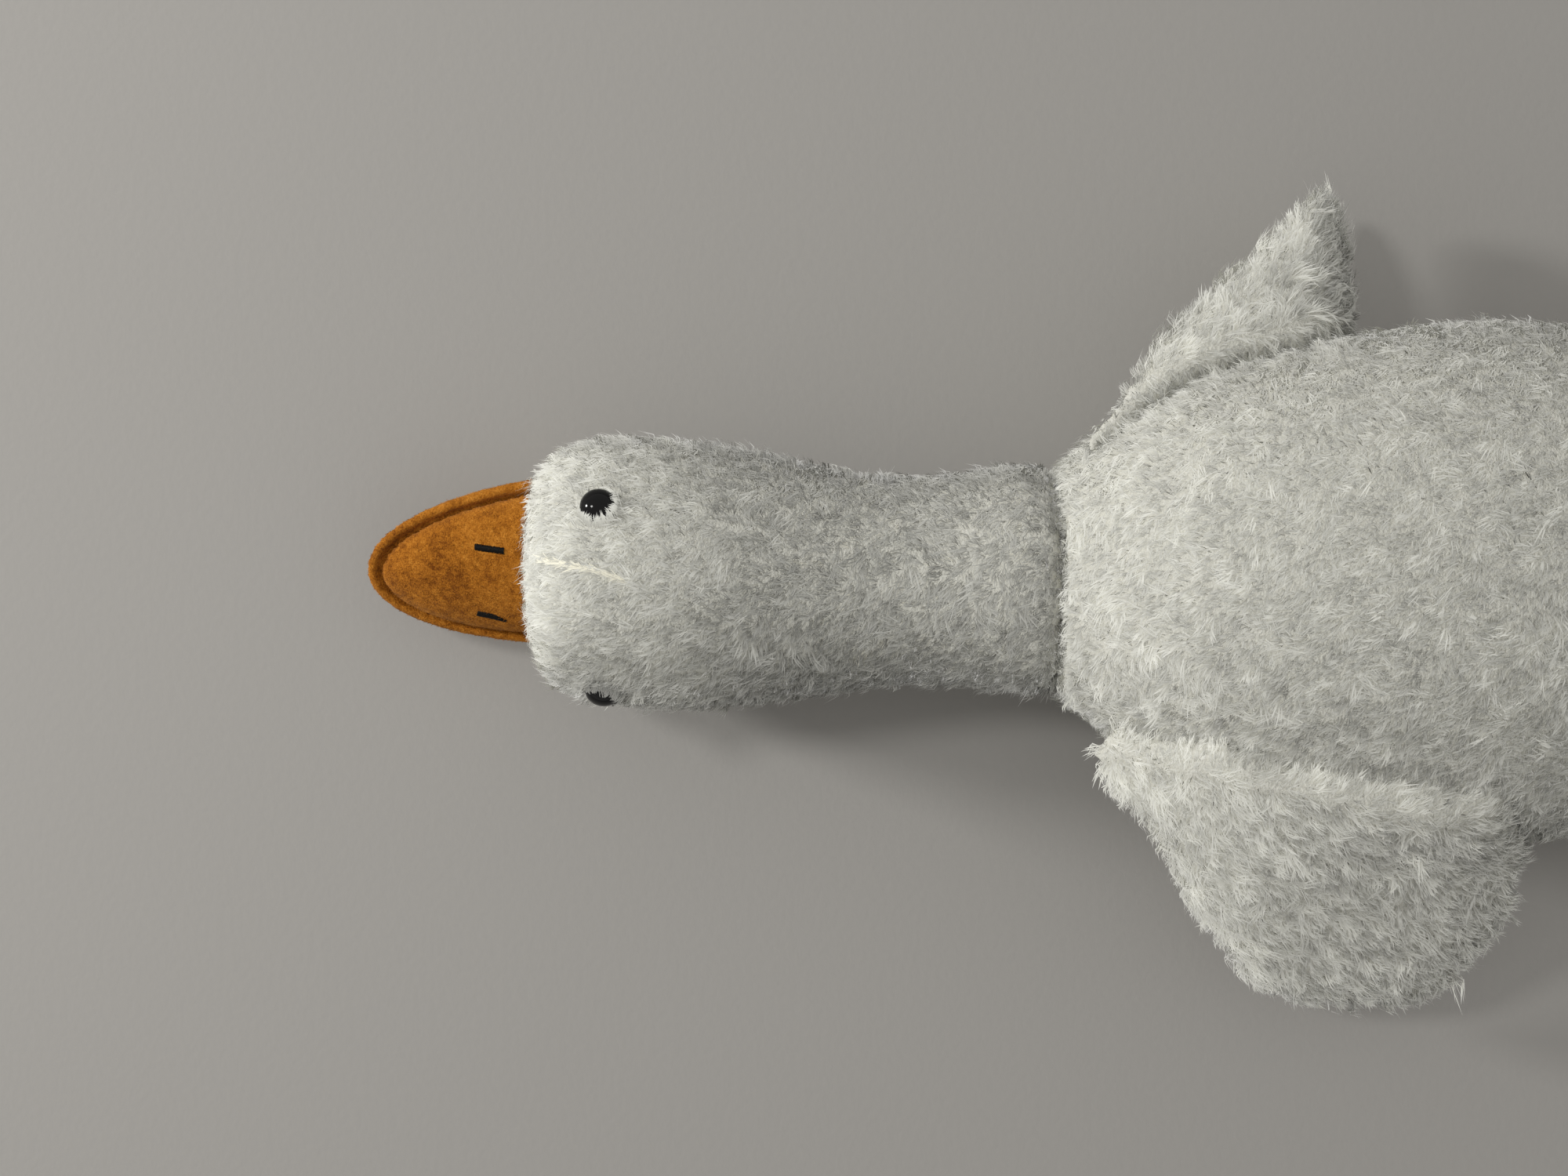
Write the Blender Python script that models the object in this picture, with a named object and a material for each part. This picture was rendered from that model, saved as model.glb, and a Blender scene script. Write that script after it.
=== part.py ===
"""Stuffed plush goose lying on its belly, beak towards -Y, with its wings spread.

Metres, +Z up. The origin is the middle of the flat patch that the belly rests on. The goose's
left side is +X. Every soft part is one stuffed solid whose surface is the outside of the pile.
"""
import math

import bmesh
import bpy
from mathutils import Matrix, Vector

# Clearances
SEAT_GAP = 0.0003                # between two pieces that are sewn or pressed together
FLOOR = 0.0                      # the surface that the goose lies on

# Body: a pear with an upturned tail, flat where it lies
BODY_LENGTH = 0.392
BODY_WIDTH = 0.230
BODY_HEIGHT = 0.178
BODY_SINK = 0.004                # how far the belly is pressed flat by the floor
TAIL_ROUNDING = 0.012

# Neck seam: the sewn ring where the neck meets the body
SEAM_FORWARD = 0.175             # distance of the seam ahead of the origin
SEAM_WIDTH = 0.108
SEAM_HEIGHT = 0.100
SEAM_CENTRE_HEIGHT = 0.066
GATHER_COUNT = 13
GATHER_DEPTH = 0.0013
GATHER_REACH = 0.016
SEAM_PINCH = 0.0022
PINCH_REACH = 0.006

# Head and neck, one sewn tube with a round front
HEAD_NECK_LENGTH = 0.2355
HEAD_WIDTH = 0.1236
HEAD_HEIGHT = 0.116
HEAD_CENTRE_HEIGHT = 0.0565
HEAD_ROUNDING = 0.044
HEAD_BLUNTNESS = 3.6             # 2 makes its front an ellipse, more makes it flatter
HEAD_LEAN = -0.0036              # sideways shift of the head, towards its right
HEAD_ROLL = math.radians(20)     # the top of the head turns towards the left wing

# Eyes: domed plastic buttons on a ribbed stem, held by a washer inside the head
EYE_DIAMETER = 0.0160
EYE_DOME_HEIGHT = 0.0066
EYE_FROM_HEAD_FRONT = 0.0350
EYE_SPREAD = math.radians(48)    # angle of each eye from the top of the head
EYE_SOCKET_DEPTH = 0.0036        # the pile stands this far above the back of the dome
STEM_DIAMETER = 0.0042
STEM_RIB = 0.0003
STEM_RIB_COUNT = 4
STEM_LENGTH = 0.0150
WASHER_DIAMETER = 0.0180
WASHER_THICKNESS = 0.0012
WASHER_HUB_DIAMETER = 0.0090
WASHER_HUB_HEIGHT = 0.0016
WASHER_DEPTH = 0.0056            # from the back of the dome to the washer

# Beak: an upper pad laid in the rolled rim of a lower pad
BEAK_LENGTH = 0.1028             # from the middle of its root, inside the head, to the tip
BEAK_WIDTH = 0.0850
BEAK_ROOT_LENGTH = 0.012
BEAK_ROOT_DEPTH = 0.0264         # from the front of the head to the middle of the root
BEAK_ROOT_DROP = 0.0130          # from the middle of the head down to the middle of the root
BEAK_ROOT_SHIFT = -0.0096
BEAK_YAW = math.radians(3.6)
BEAK_TWIST = math.radians(4)     # its roll beyond that of the head
BEAK_PITCH = math.radians(4)
RIM_WIDTH = 0.0062
RIM_HEIGHT = 0.0030
LOWER_BEAK_DEPTH = 0.0105
UPPER_BEAK_CROWN = 0.0185

# Nostrils: two bars of satin stitch on the upper beak
NOSTRIL_LENGTH = 0.0135
NOSTRIL_WIDTH = 0.0032
NOSTRIL_RISE = 0.0011
NOSTRIL_FROM_TIP = 0.0546
NOSTRIL_SPACING = 0.0332
NOSTRIL_SHIFT = 0.0018           # both sit this far left of the middle
NOSTRIL_STAGGER = 0.0040         # and the left one this much nearer the tip
NOSTRIL_BEND = 0.0030            # the left bar curves outward by this at its back end
NOSTRIL_TURN = math.radians(9)   # both bars are sewn askew, their back ends towards the left

# Wings: one flat pad each, sewn along the shoulder
WING_THICKNESS = 0.0230
WING_FRONT_REACH = 0.085         # from the seam back, a wing's front corner hangs lower
WING_REACH = 0.130               # from the shoulder outward, over which that drop fades out
DRAPE_ROUNDING = 0.010           # how softly a wing leaves the side of the body
FRONT_ROUNDING = 0.012           # how softly a wing's front corner starts to hang
LEFT_WING_SPAN = 0.134           # outward from the shoulder
LEFT_WING_CHORD = 0.212          # back from the neck seam
LEFT_SHOULDER = 0.61             # share of half the width of the body
LEFT_SHOULDER_HEIGHT = 0.1365
LEFT_DROOP = math.radians(40.4)
LEFT_FRONT_DROOP = math.radians(30)
RIGHT_WING_SPAN = 0.088
RIGHT_WING_CHORD = 0.184
RIGHT_SHOULDER = 0.852
RIGHT_SHOULDER_HEIGHT = 0.0900
RIGHT_DROOP = math.radians(30)
RIGHT_FRONT_DROOP = math.radians(15)
FOLD_BEHIND_SEAM = 0.1075        # the right wing bends down over this line
FOLD_SLANT = math.radians(3)
FOLD_RADIUS = 0.0135
FOLD_ANGLE = math.radians(84)

# Feet: webbed orange pads under the back of the body
FOOT_LENGTH = 0.092
FOOT_WIDTH = 0.080
FOOT_THICKNESS = 0.0160
FOOT_BACK = 0.715                # share of the body's length, from the seam to the heel
FOOT_SPACING = 0.104
FOOT_SPLAY = math.radians(16)
HEEL_BURY = 0.008                # how far the heel reaches up under the pile of the body
HEEL_REACH = 0.42                # share of the foot over which the heel rises
TOE_CHANNEL_SPREAD = 0.52        # share of half the foot's width, at the toes
TOE_CHANNEL_WIDTH = 0.0040
TOE_CHANNEL_DEPTH = 0.40

# Shapes, as shares of the sizes above. Along the body: share of length, width, height, and the
# height of the section's middle as a share of half the height.
BODY_SECTIONS = (
    (0.060, 0.620, 0.690, 0.850),
    (0.130, 0.765, 0.835, 0.890),
    (0.235, 0.885, 0.940, 0.925),
    (0.370, 0.972, 0.992, 0.950),
    (0.520, 1.000, 1.000, 0.955),
    (0.660, 0.930, 0.930, 0.925),
    (0.775, 0.740, 0.765, 0.900),
    (0.865, 0.475, 0.505, 0.930),
    (0.930, 0.280, 0.285, 1.060),
    (1.000, 0.165, 0.165, 1.215),
)
# Along the head and neck, from the seam forward: share of length, share of head width, share of
# head height, height of the middle as a share of the head's, and share of the head's lean.
HEAD_SECTIONS = (
    (0.077, 0.845, 0.835, 1.150, 0.35),
    (0.164, 0.800, 0.800, 1.100, 0.20),
    (0.292, 0.778, 0.775, 1.060, 0.05),
    (0.441, 0.850, 0.840, 1.020, 0.10),
    (0.574, 0.945, 0.930, 1.000, 0.50),
    (0.718, 1.000, 1.000, 1.000, 0.80),
    (0.866, 0.985, 0.985, 1.000, 1.35),
    (1.000, 0.965, 0.960, 0.960, 1.20),
)
# Wing outlines seen from above: share of span out from the shoulder, share of chord behind the seam
LEFT_WING_OUTLINE = (
    (-0.075, 0.024),
    (0.090, 0.042),
    (0.246, 0.123),
    (0.478, 0.198),
    (0.687, 0.297),
    (0.873, 0.401),
    (0.970, 0.528),
    (1.000, 0.670),
    (0.940, 0.830),
    (0.731, 0.962),
    (0.403, 1.000),
    (0.164, 0.896),
    (0.090, 0.731),
    (0.060, 0.542),
    (0.022, 0.392),
    (-0.037, 0.283),
    (-0.052, 0.142),
)
RIGHT_WING_OUTLINE = (
    (-0.511, 0.033),
    (-0.273, 0.087),
    (0.000, 0.174),
    (0.239, 0.277),
    (0.455, 0.391),
    (0.705, 0.527),
    (0.909, 0.636),
    (1.000, 0.723),
    (0.909, 0.804),
    (0.625, 0.913),
    (0.227, 1.000),
    (-0.341, 0.957),
)
# Foot outline: share of length from the heel, share of half the width
FOOT_OUTLINE = (
    (0.00, 0.00),
    (0.06, 0.24),
    (0.30, 0.40),
    (0.62, 0.78),
    (0.86, 1.00),
    (0.97, 0.86),
    (0.90, 0.52),
    (1.04, 0.00),
)

# Facets
BODY_SIDES = 44
BODY_RINGS = 26
HEAD_SIDES = 40
HEAD_RINGS = 27
TURNED_SIDES = 16
WING_SIDES = 46
WING_RINGS = 7
BEAK_SIDES = 40
FOOT_SIDES = 36
FOOT_RINGS = 5

# Colours from the photograph, linear
PLUSH_WHITE = (0.72, 0.72, 0.68)
BEAK_ORANGE = (0.60, 0.20, 0.028)
EYE_BLACK = (0.006, 0.006, 0.007)
THREAD_BLACK = (0.010, 0.009, 0.008)
WASHER_WHITE = (0.78, 0.78, 0.76)


def remove_everything():
    for thing in list(bpy.data.objects):
        bpy.data.objects.remove(thing, do_unlink=True)


def finish_material(name, colour, roughness):
    material = bpy.data.materials.new(name)
    material.use_nodes = True
    shader = material.node_tree.nodes["Principled BSDF"]
    shader.inputs["Base Color"].default_value = (*colour, 1.0)
    shader.inputs["Roughness"].default_value = roughness
    shader.inputs["Metallic"].default_value = 0.0
    return material


def add_mesh(name, points, faces, colour=None, roughness=0.9):
    """One smooth-shaded mesh object; with no colour it is a cutter, which isn't part of the goose."""
    mesh = bpy.data.meshes.new(name)
    mesh.from_pydata([tuple(point) for point in points], [], faces)
    form = bmesh.new()
    form.from_mesh(mesh)
    bmesh.ops.recalc_face_normals(form, faces=form.faces)
    form.to_mesh(mesh)
    form.free()
    mesh.shade_smooth()
    piece = bpy.data.objects.new(name, mesh)
    bpy.context.scene.collection.objects.link(piece)
    if colour is None:
        piece.hide_render = True
        piece.display_type = "WIRE"
    else:
        mesh.materials.append(finish_material(name, colour, roughness))
    return piece


def skin_rings(rings, first_pole, last_pole):
    """Points and faces of a closed skin over rings of equal count, closed at a point at each end."""
    count = len(rings[0])
    points = [point for ring in rings for point in ring]
    faces = []
    for row in range(len(rings) - 1):
        for step in range(count):
            following = (step + 1) % count
            faces.append((row * count + step, row * count + following,
                          (row + 1) * count + following, (row + 1) * count + step))
    last_row = (len(rings) - 1) * count
    points += [first_pole, last_pole]
    for step in range(count):
        following = (step + 1) % count
        faces.append((len(points) - 2, following, step))
        faces.append((len(points) - 1, last_row + step, last_row + following))
    return points, faces


def trim(piece, cutter):
    """Cut the room of a neighbour, or a hole, out of a piece."""
    cut = piece.modifiers.new(cutter.name, "BOOLEAN")
    cut.operation = "DIFFERENCE"
    cut.solver = "EXACT"
    cut.object = cutter


def curve_value(rows, share):
    """Values on a smooth curve through rows, each of which starts with its own share."""
    last = len(rows) - 1
    left = 0
    while left < last - 1 and share > rows[left + 1][0]:
        left += 1
    right = left + 1
    before = max(left - 1, 0)
    after = min(right + 1, last)
    span = rows[right][0] - rows[left][0]
    along = min(max((share - rows[left][0]) / span, 0.0), 1.0)
    values = []
    for column in range(1, len(rows[0])):
        slope_left = (rows[right][column] - rows[before][column]) / (rows[right][0] - rows[before][0])
        slope_right = (rows[after][column] - rows[left][column]) / (rows[after][0] - rows[left][0])
        values.append(
            rows[left][column] * (1 + 2 * along) * (1 - along) ** 2
            + slope_left * span * along * (1 - along) ** 2
            + rows[right][column] * along ** 2 * (3 - 2 * along)
            + slope_right * span * along ** 2 * (along - 1))
    return values


def closed_curve(corners, count):
    """Evenly stepped points on a smooth closed curve through the corners."""
    curve = []
    total = len(corners)
    for step in range(count):
        place = step * total / count
        index = int(place)
        along = place - index
        around = [Vector(corners[(index + shift) % total]) for shift in (-1, 0, 1, 2)]
        curve.append(0.5 * (2 * around[1] + (around[2] - around[0]) * along
                            + (2 * around[0] - 5 * around[1] + 4 * around[2] - around[3]) * along ** 2
                            + (3 * around[1] - around[0] - 3 * around[2] + around[3]) * along ** 3))
    return curve


class StuffedForm:
    """A stuffed tube along Y, flat at the neck seam and round at its other end.

    A row holds: share of the length from the seam, half width, half height, height of the middle
    and sideways shift. An angle is measured from the top of the section towards +X.
    """

    def __init__(self, rows, direction, length, rounding, bluntness, sides, rings):
        self.rows = rows
        self.direction = direction
        self.length = length
        self.rounding = rounding
        self.bluntness = bluntness
        self.sides = sides
        self.rings = rings

    def section(self, share):
        half_width, half_height, middle, shift = curve_value(self.rows, share)
        from_end = (1 - share) * self.length
        if from_end < self.rounding:
            reach = 1 - from_end / self.rounding
            dome = max(1 - reach ** self.bluntness, 0.0) ** (1 / self.bluntness)
            half_width *= dome
            half_height *= dome
        return half_width, half_height, middle, shift

    def point(self, share, angle, grow=0.0):
        half_width, half_height, middle, shift = self.section(share)
        from_seam = share * self.length
        gather = GATHER_DEPTH * math.cos(GATHER_COUNT * angle) * math.exp(-from_seam / GATHER_REACH)
        pinch = SEAM_PINCH * math.exp(-from_seam / PINCH_REACH)
        swell = grow + gather - pinch
        return Vector((
            shift + (half_width + swell) * math.sin(angle),
            -SEAM_FORWARD + self.direction * (from_seam + SEAT_GAP / 2),
            middle + (half_height + swell) * math.cos(angle)))

    def normal(self, share, angle):
        step = 1e-3
        along = self.point(share + step, angle) - self.point(share - step, angle)
        around = self.point(share, angle + step) - self.point(share, angle - step)
        outward = along.cross(around).normalized()
        half_width, half_height, middle, shift = self.section(share)
        centre = Vector((shift, self.point(share, angle).y, middle))
        return outward if outward.dot(self.point(share, angle) - centre) > 0 else -outward

    def height_at(self, across, back, side=1):
        """Height of the skin over a point of the floor: its top, or with side -1 its underside.

        Past the widest place the top falls away steeply, as fabric laid over it would.
        """
        share = min(max(back / self.length, 0.0), 1.0)
        half_width, half_height, middle, shift = self.section(share)
        from_middle = abs(across - shift)
        if from_middle >= half_width:
            return middle - side * 3 * (from_middle - half_width)
        return middle + side * half_height * math.sqrt(1 - (from_middle / half_width) ** 2)

    def shares(self):
        """Ring places: close together at the gathers and round the end, wider between them."""
        places = []
        dome_start = 1 - self.rounding / self.length
        dome_rings = 8
        tube_rings = self.rings - dome_rings
        for step in range(tube_rings):
            even = step / (tube_rings - 1)
            places.append(dome_start * (0.45 * even ** 2 + 0.55 * even))
        for step in range(1, dome_rings + 1):
            turn = math.pi / 2 * step / (dome_rings + 0.6)
            places.append(dome_start + (1 - dome_start) * math.sin(turn))
        return places

    def skin(self, grow=0.0):
        """Points and faces of the form, swollen by grow; the real form is flat on the floor."""
        rings = []
        for share in self.shares():
            ring = []
            for step in range(self.sides):
                spot = self.point(share, 2 * math.pi * step / self.sides, grow)
                if grow == 0.0:
                    spot.z = max(spot.z, FLOOR)
                elif share == 0.0:
                    spot.y -= self.direction * grow
                elif share > 0.9:
                    spot.y += self.direction * grow
                ring.append(spot)
            rings.append(ring)
        start = self.section(0.0)
        end = self.section(1.0)
        first_pole = Vector((start[3], rings[0][0].y, start[2]))
        tip = -SEAM_FORWARD + self.direction * (self.length + SEAT_GAP / 2 + grow)
        last_pole = Vector((end[3], tip, end[2]))
        return skin_rings(rings, first_pole, last_pole)


def body_form():
    rows = [(0.0, SEAM_WIDTH / 2, SEAM_HEIGHT / 2, SEAM_CENTRE_HEIGHT, 0.0)]
    for share, width, height, middle in BODY_SECTIONS:
        rows.append((share, width * BODY_WIDTH / 2, height * BODY_HEIGHT / 2,
                     middle * BODY_HEIGHT / 2 - BODY_SINK * height, 0.0))
    return StuffedForm(rows, 1, BODY_LENGTH, TAIL_ROUNDING, 2, BODY_SIDES, BODY_RINGS)


def head_form():
    rows = [(0.0, SEAM_WIDTH / 2, SEAM_HEIGHT / 2, SEAM_CENTRE_HEIGHT, 0.0)]
    for share, width, height, middle, lean in HEAD_SECTIONS:
        rows.append((share, width * HEAD_WIDTH / 2, height * HEAD_HEIGHT / 2,
                     middle * HEAD_CENTRE_HEIGHT, lean * HEAD_LEAN))
    return StuffedForm(rows, -1, HEAD_NECK_LENGTH, HEAD_ROUNDING, HEAD_BLUNTNESS, HEAD_SIDES, HEAD_RINGS)


def turned(name, profile, frame, colour=None, roughness=0.9):
    """A round piece about its frame's Z axis, from (radius, height) steps between two axis points."""
    rings = []
    for radius, height in profile[1:-1]:
        rings.append([frame @ Vector((radius * math.cos(2 * math.pi * step / TURNED_SIDES),
                                      radius * math.sin(2 * math.pi * step / TURNED_SIDES), height))
                      for step in range(TURNED_SIDES)])
    first_pole = frame @ Vector((0, 0, profile[0][1]))
    last_pole = frame @ Vector((0, 0, profile[-1][1]))
    points, faces = skin_rings(rings, first_pole, last_pole)
    return add_mesh(name, points, faces, colour, roughness)


def frame_on(spot, outward):
    """A frame at a spot whose Z axis points outward."""
    turn = outward.to_track_quat("Z", "Y").to_matrix().to_4x4()
    return Matrix.Translation(spot) @ turn


def eye_profile():
    """Dome, flat back and ribbed stem, as radius and height above the back of the dome."""
    stem = STEM_DIAMETER / 2
    steps = [(0.0, -STEM_LENGTH), (stem * 0.7, -STEM_LENGTH)]
    pitch = (STEM_LENGTH - WASHER_DEPTH / 2) / (2 * STEM_RIB_COUNT)
    for rib in range(STEM_RIB_COUNT):
        low = -STEM_LENGTH + pitch * (2 * rib + 0.7)
        steps.append((stem, low))
        steps.append((stem + STEM_RIB, low + pitch / 2))
        steps.append((stem, low + pitch))
    steps.append((stem, 0.0))
    dome_steps = 7
    for step in range(dome_steps):
        turn = math.pi / 2 * step / dome_steps
        steps.append((EYE_DIAMETER / 2 * math.cos(turn), EYE_DOME_HEIGHT * math.sin(turn)))
    steps.append((0.0, EYE_DOME_HEIGHT))
    return steps


def washer_rings(name, frame):
    """A flat washer with a hub on the side away from the eye, pushed over the stem."""
    hole = STEM_DIAMETER / 2 + STEM_RIB + SEAT_GAP
    near = -WASHER_DEPTH
    far = near - WASHER_THICKNESS
    end = far - WASHER_HUB_HEIGHT
    profile = ((hole, near), (WASHER_DIAMETER / 2, near), (WASHER_DIAMETER / 2, far),
               (WASHER_HUB_DIAMETER / 2, far), (WASHER_HUB_DIAMETER / 2, end), (hole, end))
    points = []
    faces = []
    for radius, height in profile:
        for step in range(TURNED_SIDES):
            turn = 2 * math.pi * step / TURNED_SIDES
            points.append(frame @ Vector((radius * math.cos(turn), radius * math.sin(turn), height)))
    for row in range(len(profile)):
        below = (row + 1) % len(profile)
        for step in range(TURNED_SIDES):
            following = (step + 1) % TURNED_SIDES
            faces.append((row * TURNED_SIDES + step, row * TURNED_SIDES + following,
                          below * TURNED_SIDES + following, below * TURNED_SIDES + step))
    return add_mesh(name, points, faces, WASHER_WHITE, 0.5)


def socket_profile():
    """Room for an eye in the head: dome recess, stem hole and washer pocket."""
    recess = EYE_DIAMETER / 2 + SEAT_GAP
    bore = STEM_DIAMETER / 2 + STEM_RIB + SEAT_GAP
    pocket = WASHER_DIAMETER / 2 + SEAT_GAP
    pocket_near = -WASHER_DEPTH + SEAT_GAP
    pocket_far = -WASHER_DEPTH - WASHER_THICKNESS - WASHER_HUB_HEIGHT - SEAT_GAP
    end = min(-STEM_LENGTH, pocket_far) - SEAT_GAP
    above = EYE_SOCKET_DEPTH + EYE_DOME_HEIGHT
    return ((0.0, end), (bore, end), (bore, pocket_far), (pocket, pocket_far),
            (pocket, pocket_near), (bore, pocket_near), (bore, -SEAT_GAP), (recess, -SEAT_GAP),
            (recess, above), (0.0, above))


def make_eye(side, head, head_piece):
    """One eye with its washer, seated in a socket cut in the head."""
    direction = 1 if side == "left" else -1
    share = 1 - EYE_FROM_HEAD_FRONT / HEAD_NECK_LENGTH
    angle = HEAD_ROLL + direction * EYE_SPREAD
    outward = head.normal(share, angle)
    frame = frame_on(head.point(share, angle) - outward * EYE_SOCKET_DEPTH, outward)
    turned("eye_" + side, eye_profile(), frame, EYE_BLACK, 0.08)
    washer_rings("eye_washer_" + side, frame)
    trim(head_piece, turned("socket_" + side, socket_profile(), frame))


def beak_frame():
    """The frame of the beak: origin in the middle of its root, -Y to the tip, +Z to the crown."""
    root = Vector((BEAK_ROOT_SHIFT, -SEAM_FORWARD - HEAD_NECK_LENGTH + BEAK_ROOT_DEPTH,
                   HEAD_CENTRE_HEIGHT - BEAK_ROOT_DROP))
    turn = (Matrix.Rotation(BEAK_YAW, 4, "Z") @ Matrix.Rotation(BEAK_PITCH, 4, "X")
            @ Matrix.Rotation(HEAD_ROLL + BEAK_TWIST, 4, "Y"))
    return Matrix.Translation(root) @ turn


def beak_outline(inset, turn):
    """A point on the beak's outline, moved inward by an inset, seen along its crown axis."""
    length = BEAK_LENGTH if math.cos(turn) > 0 else BEAK_ROOT_LENGTH + RIM_WIDTH
    width = BEAK_WIDTH / 2
    edge = Vector((width * math.sin(turn), -length * math.cos(turn)))
    inward = Vector((-math.sin(turn) / width, math.cos(turn) / length)).normalized()
    return edge + inward * inset


def crown_height(inner):
    """Height of the upper beak over its seat, where inner is 0 in the middle and 1 at its edge."""
    return UPPER_BEAK_CROWN * math.sqrt(max(1 - inner ** 2.1, 0.0))


def beak_rings(frame, steps):
    """Rings round the beak: each step is an inset from the outline, a share of it and a height."""
    rings = []
    for inset, share, height in steps:
        ring = []
        for step in range(BEAK_SIDES):
            spot = beak_outline(inset, 2 * math.pi * step / BEAK_SIDES) * share
            ring.append(frame @ Vector((spot.x, spot.y, height)))
        rings.append(ring)
    return rings


def make_lower_beak(frame, head_room):
    """The lower pad, whose edge is rolled into a rim that shows round the upper one."""
    steps = []
    bottom_steps = 5
    for step in range(1, bottom_steps + 1):
        turn = math.pi / 2 * step / bottom_steps
        steps.append((0.0, math.sin(turn), -LOWER_BEAK_DEPTH * math.cos(turn)))
    rim_steps = 6
    for step in range(rim_steps + 1):
        turn = math.pi * step / rim_steps
        steps.append((RIM_WIDTH / 2 * (1 - math.cos(turn)), 1.0, RIM_HEIGHT * math.sin(turn)))
    del steps[bottom_steps]
    steps.append((RIM_WIDTH, 0.5, 0.0))
    points, faces = skin_rings(beak_rings(frame, steps), frame @ Vector((0, 0, -LOWER_BEAK_DEPTH)),
                               frame @ Vector((0, 0, 0)))
    piece = add_mesh("beak_lower", points, faces, BEAK_ORANGE, 0.85)
    trim(piece, head_room)


def upper_beak_skin(frame, grow):
    """The upper pad, inside the rim of the lower one."""
    inset = RIM_WIDTH + SEAT_GAP - grow
    seat = SEAT_GAP - grow
    steps = [(inset, 0.5, seat), (inset, 1.0, seat)]
    crown_steps = 7
    for step in range(1, crown_steps):
        inner = math.cos(math.pi / 2 * step / crown_steps)
        steps.append((inset, inner, SEAT_GAP + crown_height(inner) + grow))
    crown = SEAT_GAP + UPPER_BEAK_CROWN + grow
    return skin_rings(beak_rings(frame, steps), frame @ Vector((0, 0, seat)),
                      frame @ Vector((0, 0, crown)))


def make_upper_beak(frame, head_room):
    points, faces = upper_beak_skin(frame, 0.0)
    piece = add_mesh("beak_upper", points, faces, BEAK_ORANGE, 0.85)
    trim(piece, head_room)


def crown_point(across, from_tip):
    """A point on the crown of the upper beak, in the frame of the beak."""
    length = BEAK_LENGTH - RIM_WIDTH - SEAT_GAP
    width = BEAK_WIDTH / 2 - RIM_WIDTH - SEAT_GAP
    along = -(BEAK_LENGTH - from_tip)
    inner = math.hypot(across / width, along / length)
    return Vector((across, along, SEAT_GAP + crown_height(inner)))


def make_nostril(side, frame, beak_room):
    """A raised bar of stitches along the crown, round at its ends and thin at its edges."""
    direction = 1 if side == "left" else -1
    bend = NOSTRIL_BEND if side == "left" else 0.0
    front = NOSTRIL_FROM_TIP - (NOSTRIL_STAGGER if side == "left" else 0.0)

    def bar_place(share):
        """Across and along the beak at a share of the bar's length."""
        askew = math.tan(NOSTRIL_TURN) * NOSTRIL_LENGTH * (share - 0.5)
        across = direction * (NOSTRIL_SPACING / 2 + bend * share ** 2) + askew + NOSTRIL_SHIFT
        return across, front + NOSTRIL_LENGTH * share

    bar_sides = 10
    bar_rings = 7
    rings = []
    for row in range(bar_rings):
        share = (row + 0.5) / bar_rings
        side_place, along = bar_place(share)
        middle = crown_point(side_place, along)
        forward = (crown_point(*bar_place(share + 0.01)) - middle).normalized()
        across = (crown_point(side_place + 1e-4, along) - middle).normalized()
        across = (across - forward * across.dot(forward)).normalized()
        up = across.cross(forward).normalized()
        up = up if up.z > 0 else -up
        fullness = math.sqrt(1 - (2 * share - 1) ** 4)
        ring = []
        for step in range(bar_sides):
            turn = 2 * math.pi * step / bar_sides
            ring.append(frame @ (middle + across * (NOSTRIL_WIDTH / 2 * fullness * math.cos(turn))
                                 + up * ((NOSTRIL_RISE + SEAT_GAP) * fullness * math.sin(turn))))
        rings.append(ring)
    first = crown_point(*bar_place(0.0))
    last = crown_point(*bar_place(1.0))
    points, faces = skin_rings(rings, frame @ first, frame @ last)
    piece = add_mesh("nostril_" + side, points, faces, THREAD_BLACK, 0.6)
    trim(piece, beak_room)


def pad_skin(outline, place, half_thickness, ring_count, fullness=None):
    """A sewn pad: thick in the middle and closed at its outline, carried by a place function.

    place turns a flat point into a point in space, and the pad swells both ways from there.
    """
    step = 1e-4
    centre = sum(outline, Vector((0.0, 0.0))) / len(outline)

    def lifted(flat, amount):
        middle = place(flat.x, flat.y)
        along_x = place(flat.x + step, flat.y) - place(flat.x - step, flat.y)
        along_y = place(flat.x, flat.y + step) - place(flat.x, flat.y - step)
        upward = along_x.cross(along_y).normalized()
        return middle + upward * amount

    rings = []
    for row in range(-ring_count + 1, ring_count):
        turn = math.pi / 2 * row / ring_count
        ring = []
        for corner in outline:
            flat = centre + (corner - centre) * math.cos(turn)
            full = 1.0 if fullness is None else fullness(flat)
            ring.append(lifted(flat, half_thickness * math.sin(turn) * full))
        rings.append(ring)
    full = 1.0 if fullness is None else fullness(centre)
    return skin_rings(rings, lifted(centre, -half_thickness * full), lifted(centre, half_thickness * full))


def soft_larger(first, second, rounding):
    """The larger of the two, with a soft change from one to the other."""
    return (first + second + math.sqrt((first - second) ** 2 + rounding ** 2)) / 2


def front_drop(out, back, droop):
    """How far the front corner of a wing hangs below its plane, fading out towards the tip."""
    ahead = soft_larger(WING_FRONT_REACH - back, 0.0, FRONT_ROUNDING)
    near_body = min(max(1 - out / WING_REACH, 0.0), 1.0)
    return math.tan(droop) * ahead * near_body


def left_wing_place(body, out, back):
    """The left wing lies over the shoulder and slopes from there down to the floor."""
    across = LEFT_SHOULDER * BODY_WIDTH / 2 + out
    slope = LEFT_SHOULDER_HEIGHT - math.tan(LEFT_DROOP) * out - front_drop(out, back, LEFT_FRONT_DROOP)
    shoulder = body.height_at(across, back)
    return Vector((across, -SEAM_FORWARD + back, soft_larger(shoulder, slope, DRAPE_ROUNDING)))


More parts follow.
